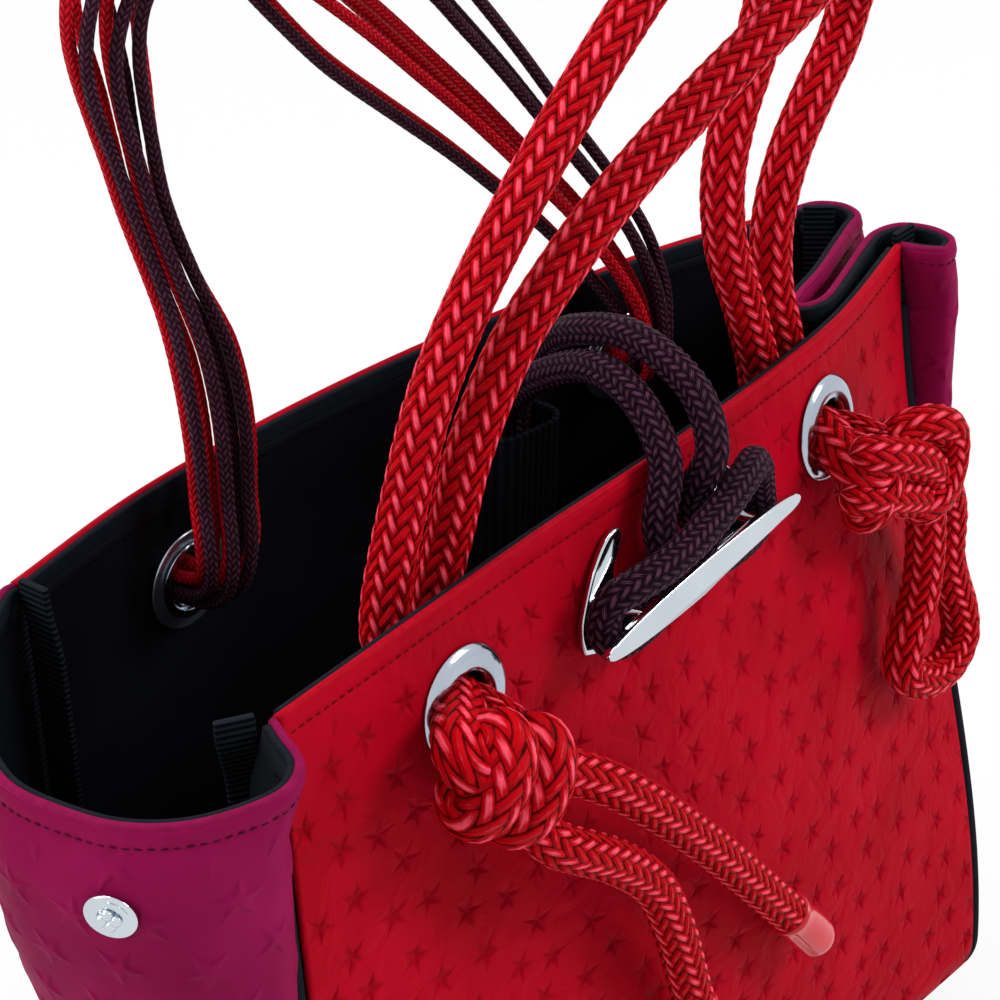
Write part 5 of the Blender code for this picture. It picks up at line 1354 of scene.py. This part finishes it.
# Where the bundle's middle runs, how far it spreads sideways, and the turn of that spread
rearGuide = (
    (-0.078, 0.058, 0.2215, 0.0044, 0), (-0.078, 0.051, 0.2215, 0.0044, 0),
    (-0.078, 0.044, 0.222, 0.0045, 0), (-0.0776, 0.0375, 0.225, 0.0056, 0),
    (-0.0768, 0.0345, 0.231, 0.0075, 0), (-0.0752, 0.035, 0.2385, 0.0088, 0),
    (-0.0735, 0.037, 0.2458, 0.009, 0), (-0.0718, 0.038, 0.259, 0.0097, 0),
    (-0.0706, 0.04, 0.2716, 0.0098, 0), (-0.0701, 0.043, 0.2839, 0.009, 0),
    (-0.0712, 0.047, 0.2964, 0.0064, 0), (-0.0735, 0.05, 0.3097, 0.0054, 0),
    (-0.0757, 0.052, 0.3227, 0.0056, 0), (-0.0768, 0.053, 0.335, 0.007, 0),
    (-0.0786, 0.053, 0.3482, 0.0092, 0), (-0.0797, 0.053, 0.3607, 0.0112, 0),
    (-0.079, 0.052, 0.3727, 0.0128, 5), (-0.0735, 0.05, 0.386, 0.0105, 35),
    (-0.06, 0.05, 0.3925, 0.008, 80), (-0.044, 0.05, 0.386, 0.01, 125),
    (-0.0235, 0.051, 0.37, 0.016, 160), (0.002, 0.052, 0.348, 0.0205, 178),
    (0.0204, 0.052, 0.3291, 0.019, 180), (0.0371, 0.05, 0.3105, 0.0165, 180),
    (0.0485, 0.044, 0.294, 0.014, 180), (0.0601, 0.038, 0.277, 0.012, 180),
    (0.0672, 0.031, 0.2614, 0.0105, 180), (0.0725, 0.027, 0.247, 0.008, 180),
    (0.0736, 0.0256, 0.2385, 0.0064, 180), (0.0745, 0.0256, 0.231, 0.0055, 180),
    (0.0755, 0.0275, 0.2258, 0.0049, 180), (0.0766, 0.0315, 0.2232, 0.0047, 180),
    (0.0772, 0.036, 0.2229, 0.0047, 180), (0.0777, 0.041, 0.2233, 0.0047, 180),
    (0.0785, 0.05, 0.224, 0.0047, 180),
)


def rearCords():
    # One cord in the middle and seven round it, on an ellipse that widens, turns and rolls along the guide
    guide = curveThrough([p[:3] for p in rearGuide], 6)
    last = len(guide) - 1
    share = np.arange(last + 1) / last
    way = guide[np.minimum(np.arange(last + 1) + 1, last)] - guide[np.maximum(np.arange(last + 1) - 1, 0)]
    way /= np.linalg.norm(way, axis=1, keepdims=True)
    across = np.array((1.0, 0.0, 0.0))
    side = []
    for step in way:
        across = across - step * across.dot(step)
        across = across / np.linalg.norm(across)
        side.append(across)
    side = np.array(side)
    deepWay = -np.cross(way, side)
    spread = np.maximum(through([p[3] for p in rearGuide], share), bundle["ring"])
    turn = through([math.radians(p[4]) for p in rearGuide], share)
    roll = math.radians(bundle["roll"]) * ease((share - bundle["rollStart"]) / bundle["rollSpan"])
    count = len(bundle["ringOrder"])
    slots = {number: (1.0, math.radians(bundle["startAngle"]) + k * 2 * math.pi / count)
             for k, number in enumerate(bundle["ringOrder"])}
    slots[bundle["middle"]] = (0.0, 0.0)
    for number, (reach, angle) in sorted(slots.items()):
        wide = reach * np.cos(angle + roll) * spread
        deep = reach * np.sin(angle + roll) * bundle["ring"]
        i = wide * np.cos(turn) - deep * np.sin(turn)
        j = wide * np.sin(turn) + deep * np.cos(turn)
        route = guide + side * i[:, None] + deepWay * j[:, None]
        route = [tuple(route[k]) for k in [*range(0, last, bundle["pick"]), last]]
        woundPiece(f"rear_handle_cord_{number}", f"rear_cord_{number}",
                   "plum" if number in bundle["plum"] else "red", [route], columns=14, step=0.0012)


def rearKnot(name, node, centre):
    # Red and plum cords wound in four turns each, the plum straight about the bundle and the red leaning
    centre = Vector(centre)
    x, y, z = axes
    lean = (z + x * 0.5).normalized()
    shifts = [(k - 1.5) * bundle["knotPitch"] for k in range(4)]
    plum = [ringRoute(centre + x * shift, y, z, 0.0088, 0.0098, 0, 350, x * 0.003) for shift in shifts]
    first = centre + lean.cross(y) * bundle["knotShift"]
    red = [ringRoute(first + lean.cross(y) * shift, y, lean, 0.0076, 0.0086, 0, 350, x * 0.002)
           for shift in shifts]
    woundPiece(f"{name}_red", node, "red", red, columns=14, step=0.0011)
    woundPiece(f"{name}_plum", node, "plum", plum, columns=14, step=0.0011)


rearCords()
rearKnot("rear_left_cord_knot", "rear_left_knot", (-0.078, 0.069, 0.218))
rearKnot("rear_right_cord_knot", "rear_right_knot", (0.078, 0.061, 0.22))
print("rear handle made")


# Screws and backing plate keep the model's shape
for node in ("cleat_screw_left", "cleat_screw_right", "cleat_backing_plate"):
    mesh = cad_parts[node].data
    mesh.materials.clear()
    mesh.materials.append(plain["polishedMetal" if "screw" in node else "darkMetal"])


# Floor, backdrop and light
studio = {"floorSize": 12.0, "floorDrop": 0.0004, "ambient": 0.42, "aim": (0, 0, 0.18),
          "lamps": (("keyLamp", (1.3, -1.5, 1.6), 0.9, 36.0), ("sideLamp", (-1.7, 0.6, 1.2), 1.0, 22.0),
                    ("topLamp", (-0.1, 0.7, 2.2), 1.0, 20.0))}


def whiteWhenSeen(shader, glow, share, output):
    # White where the camera, a reflection or glass sees it, and the plain surface for all other light
    tree = shader.id_data
    path = tree.nodes.new("ShaderNodeLightPath")
    rays = [Wire(path.outputs[f"Is {kind} Ray"]) for kind in ("Camera", "Glossy", "Transmission")]
    seen = np.maximum(rays[0], np.maximum(rays[1], rays[2])) * share
    white = newNode(tree, glow, {"Color": (1, 1, 1, 1)})
    blend = newNode(tree, "MixShader", {0: seen, 1: Wire(shader.outputs[0]), 2: Wire(white.outputs[0])})
    setInputs(tree.nodes[output], {"Surface": Wire(blend.outputs[0])})


def floorPiece():
    form = bmesh.new()
    bmesh.ops.create_grid(form, x_segments=4, y_segments=4, size=studio["floorSize"] / 2)
    bmesh.ops.translate(form, verts=form.verts, vec=(0, 0, -studio["floorDrop"]))
    mesh = meshFrom(form, "floor")
    look, shader = newLook("paleFloor", 0.9, 0.1)
    setInputs(shader, {"Base Color": (0.86, 0.86, 0.87, 1.0)})
    whiteWhenSeen(shader, "Emission", 0.9, "Material Output")
    mesh.materials.append(look)
    linked("floor", mesh)


def lightStudio():
    world = bpy.data.worlds.new("studio")
    world.use_nodes = True
    bpy.context.scene.world = world
    back = world.node_tree.nodes["Background"]
    setInputs(back, {"Color": (0.95, 0.97, 1.0, 1.0), "Strength": studio["ambient"]})
    whiteWhenSeen(back, "Background", 1.0, "World Output")
    for name, place, size, power in studio["lamps"]:
        lamp = bpy.data.lights.new(name, "AREA")
        lamp.size = size
        lamp.energy = power
        item = linked(name, lamp)
        item.location = place
        way = Vector(studio["aim"]) - Vector(place)
        item.rotation_euler = way.to_track_quat("-Z", "Y").to_euler()
    bpy.context.scene.view_settings.view_transform = "Standard"


floorPiece()
lightStudio()
print("studio set")
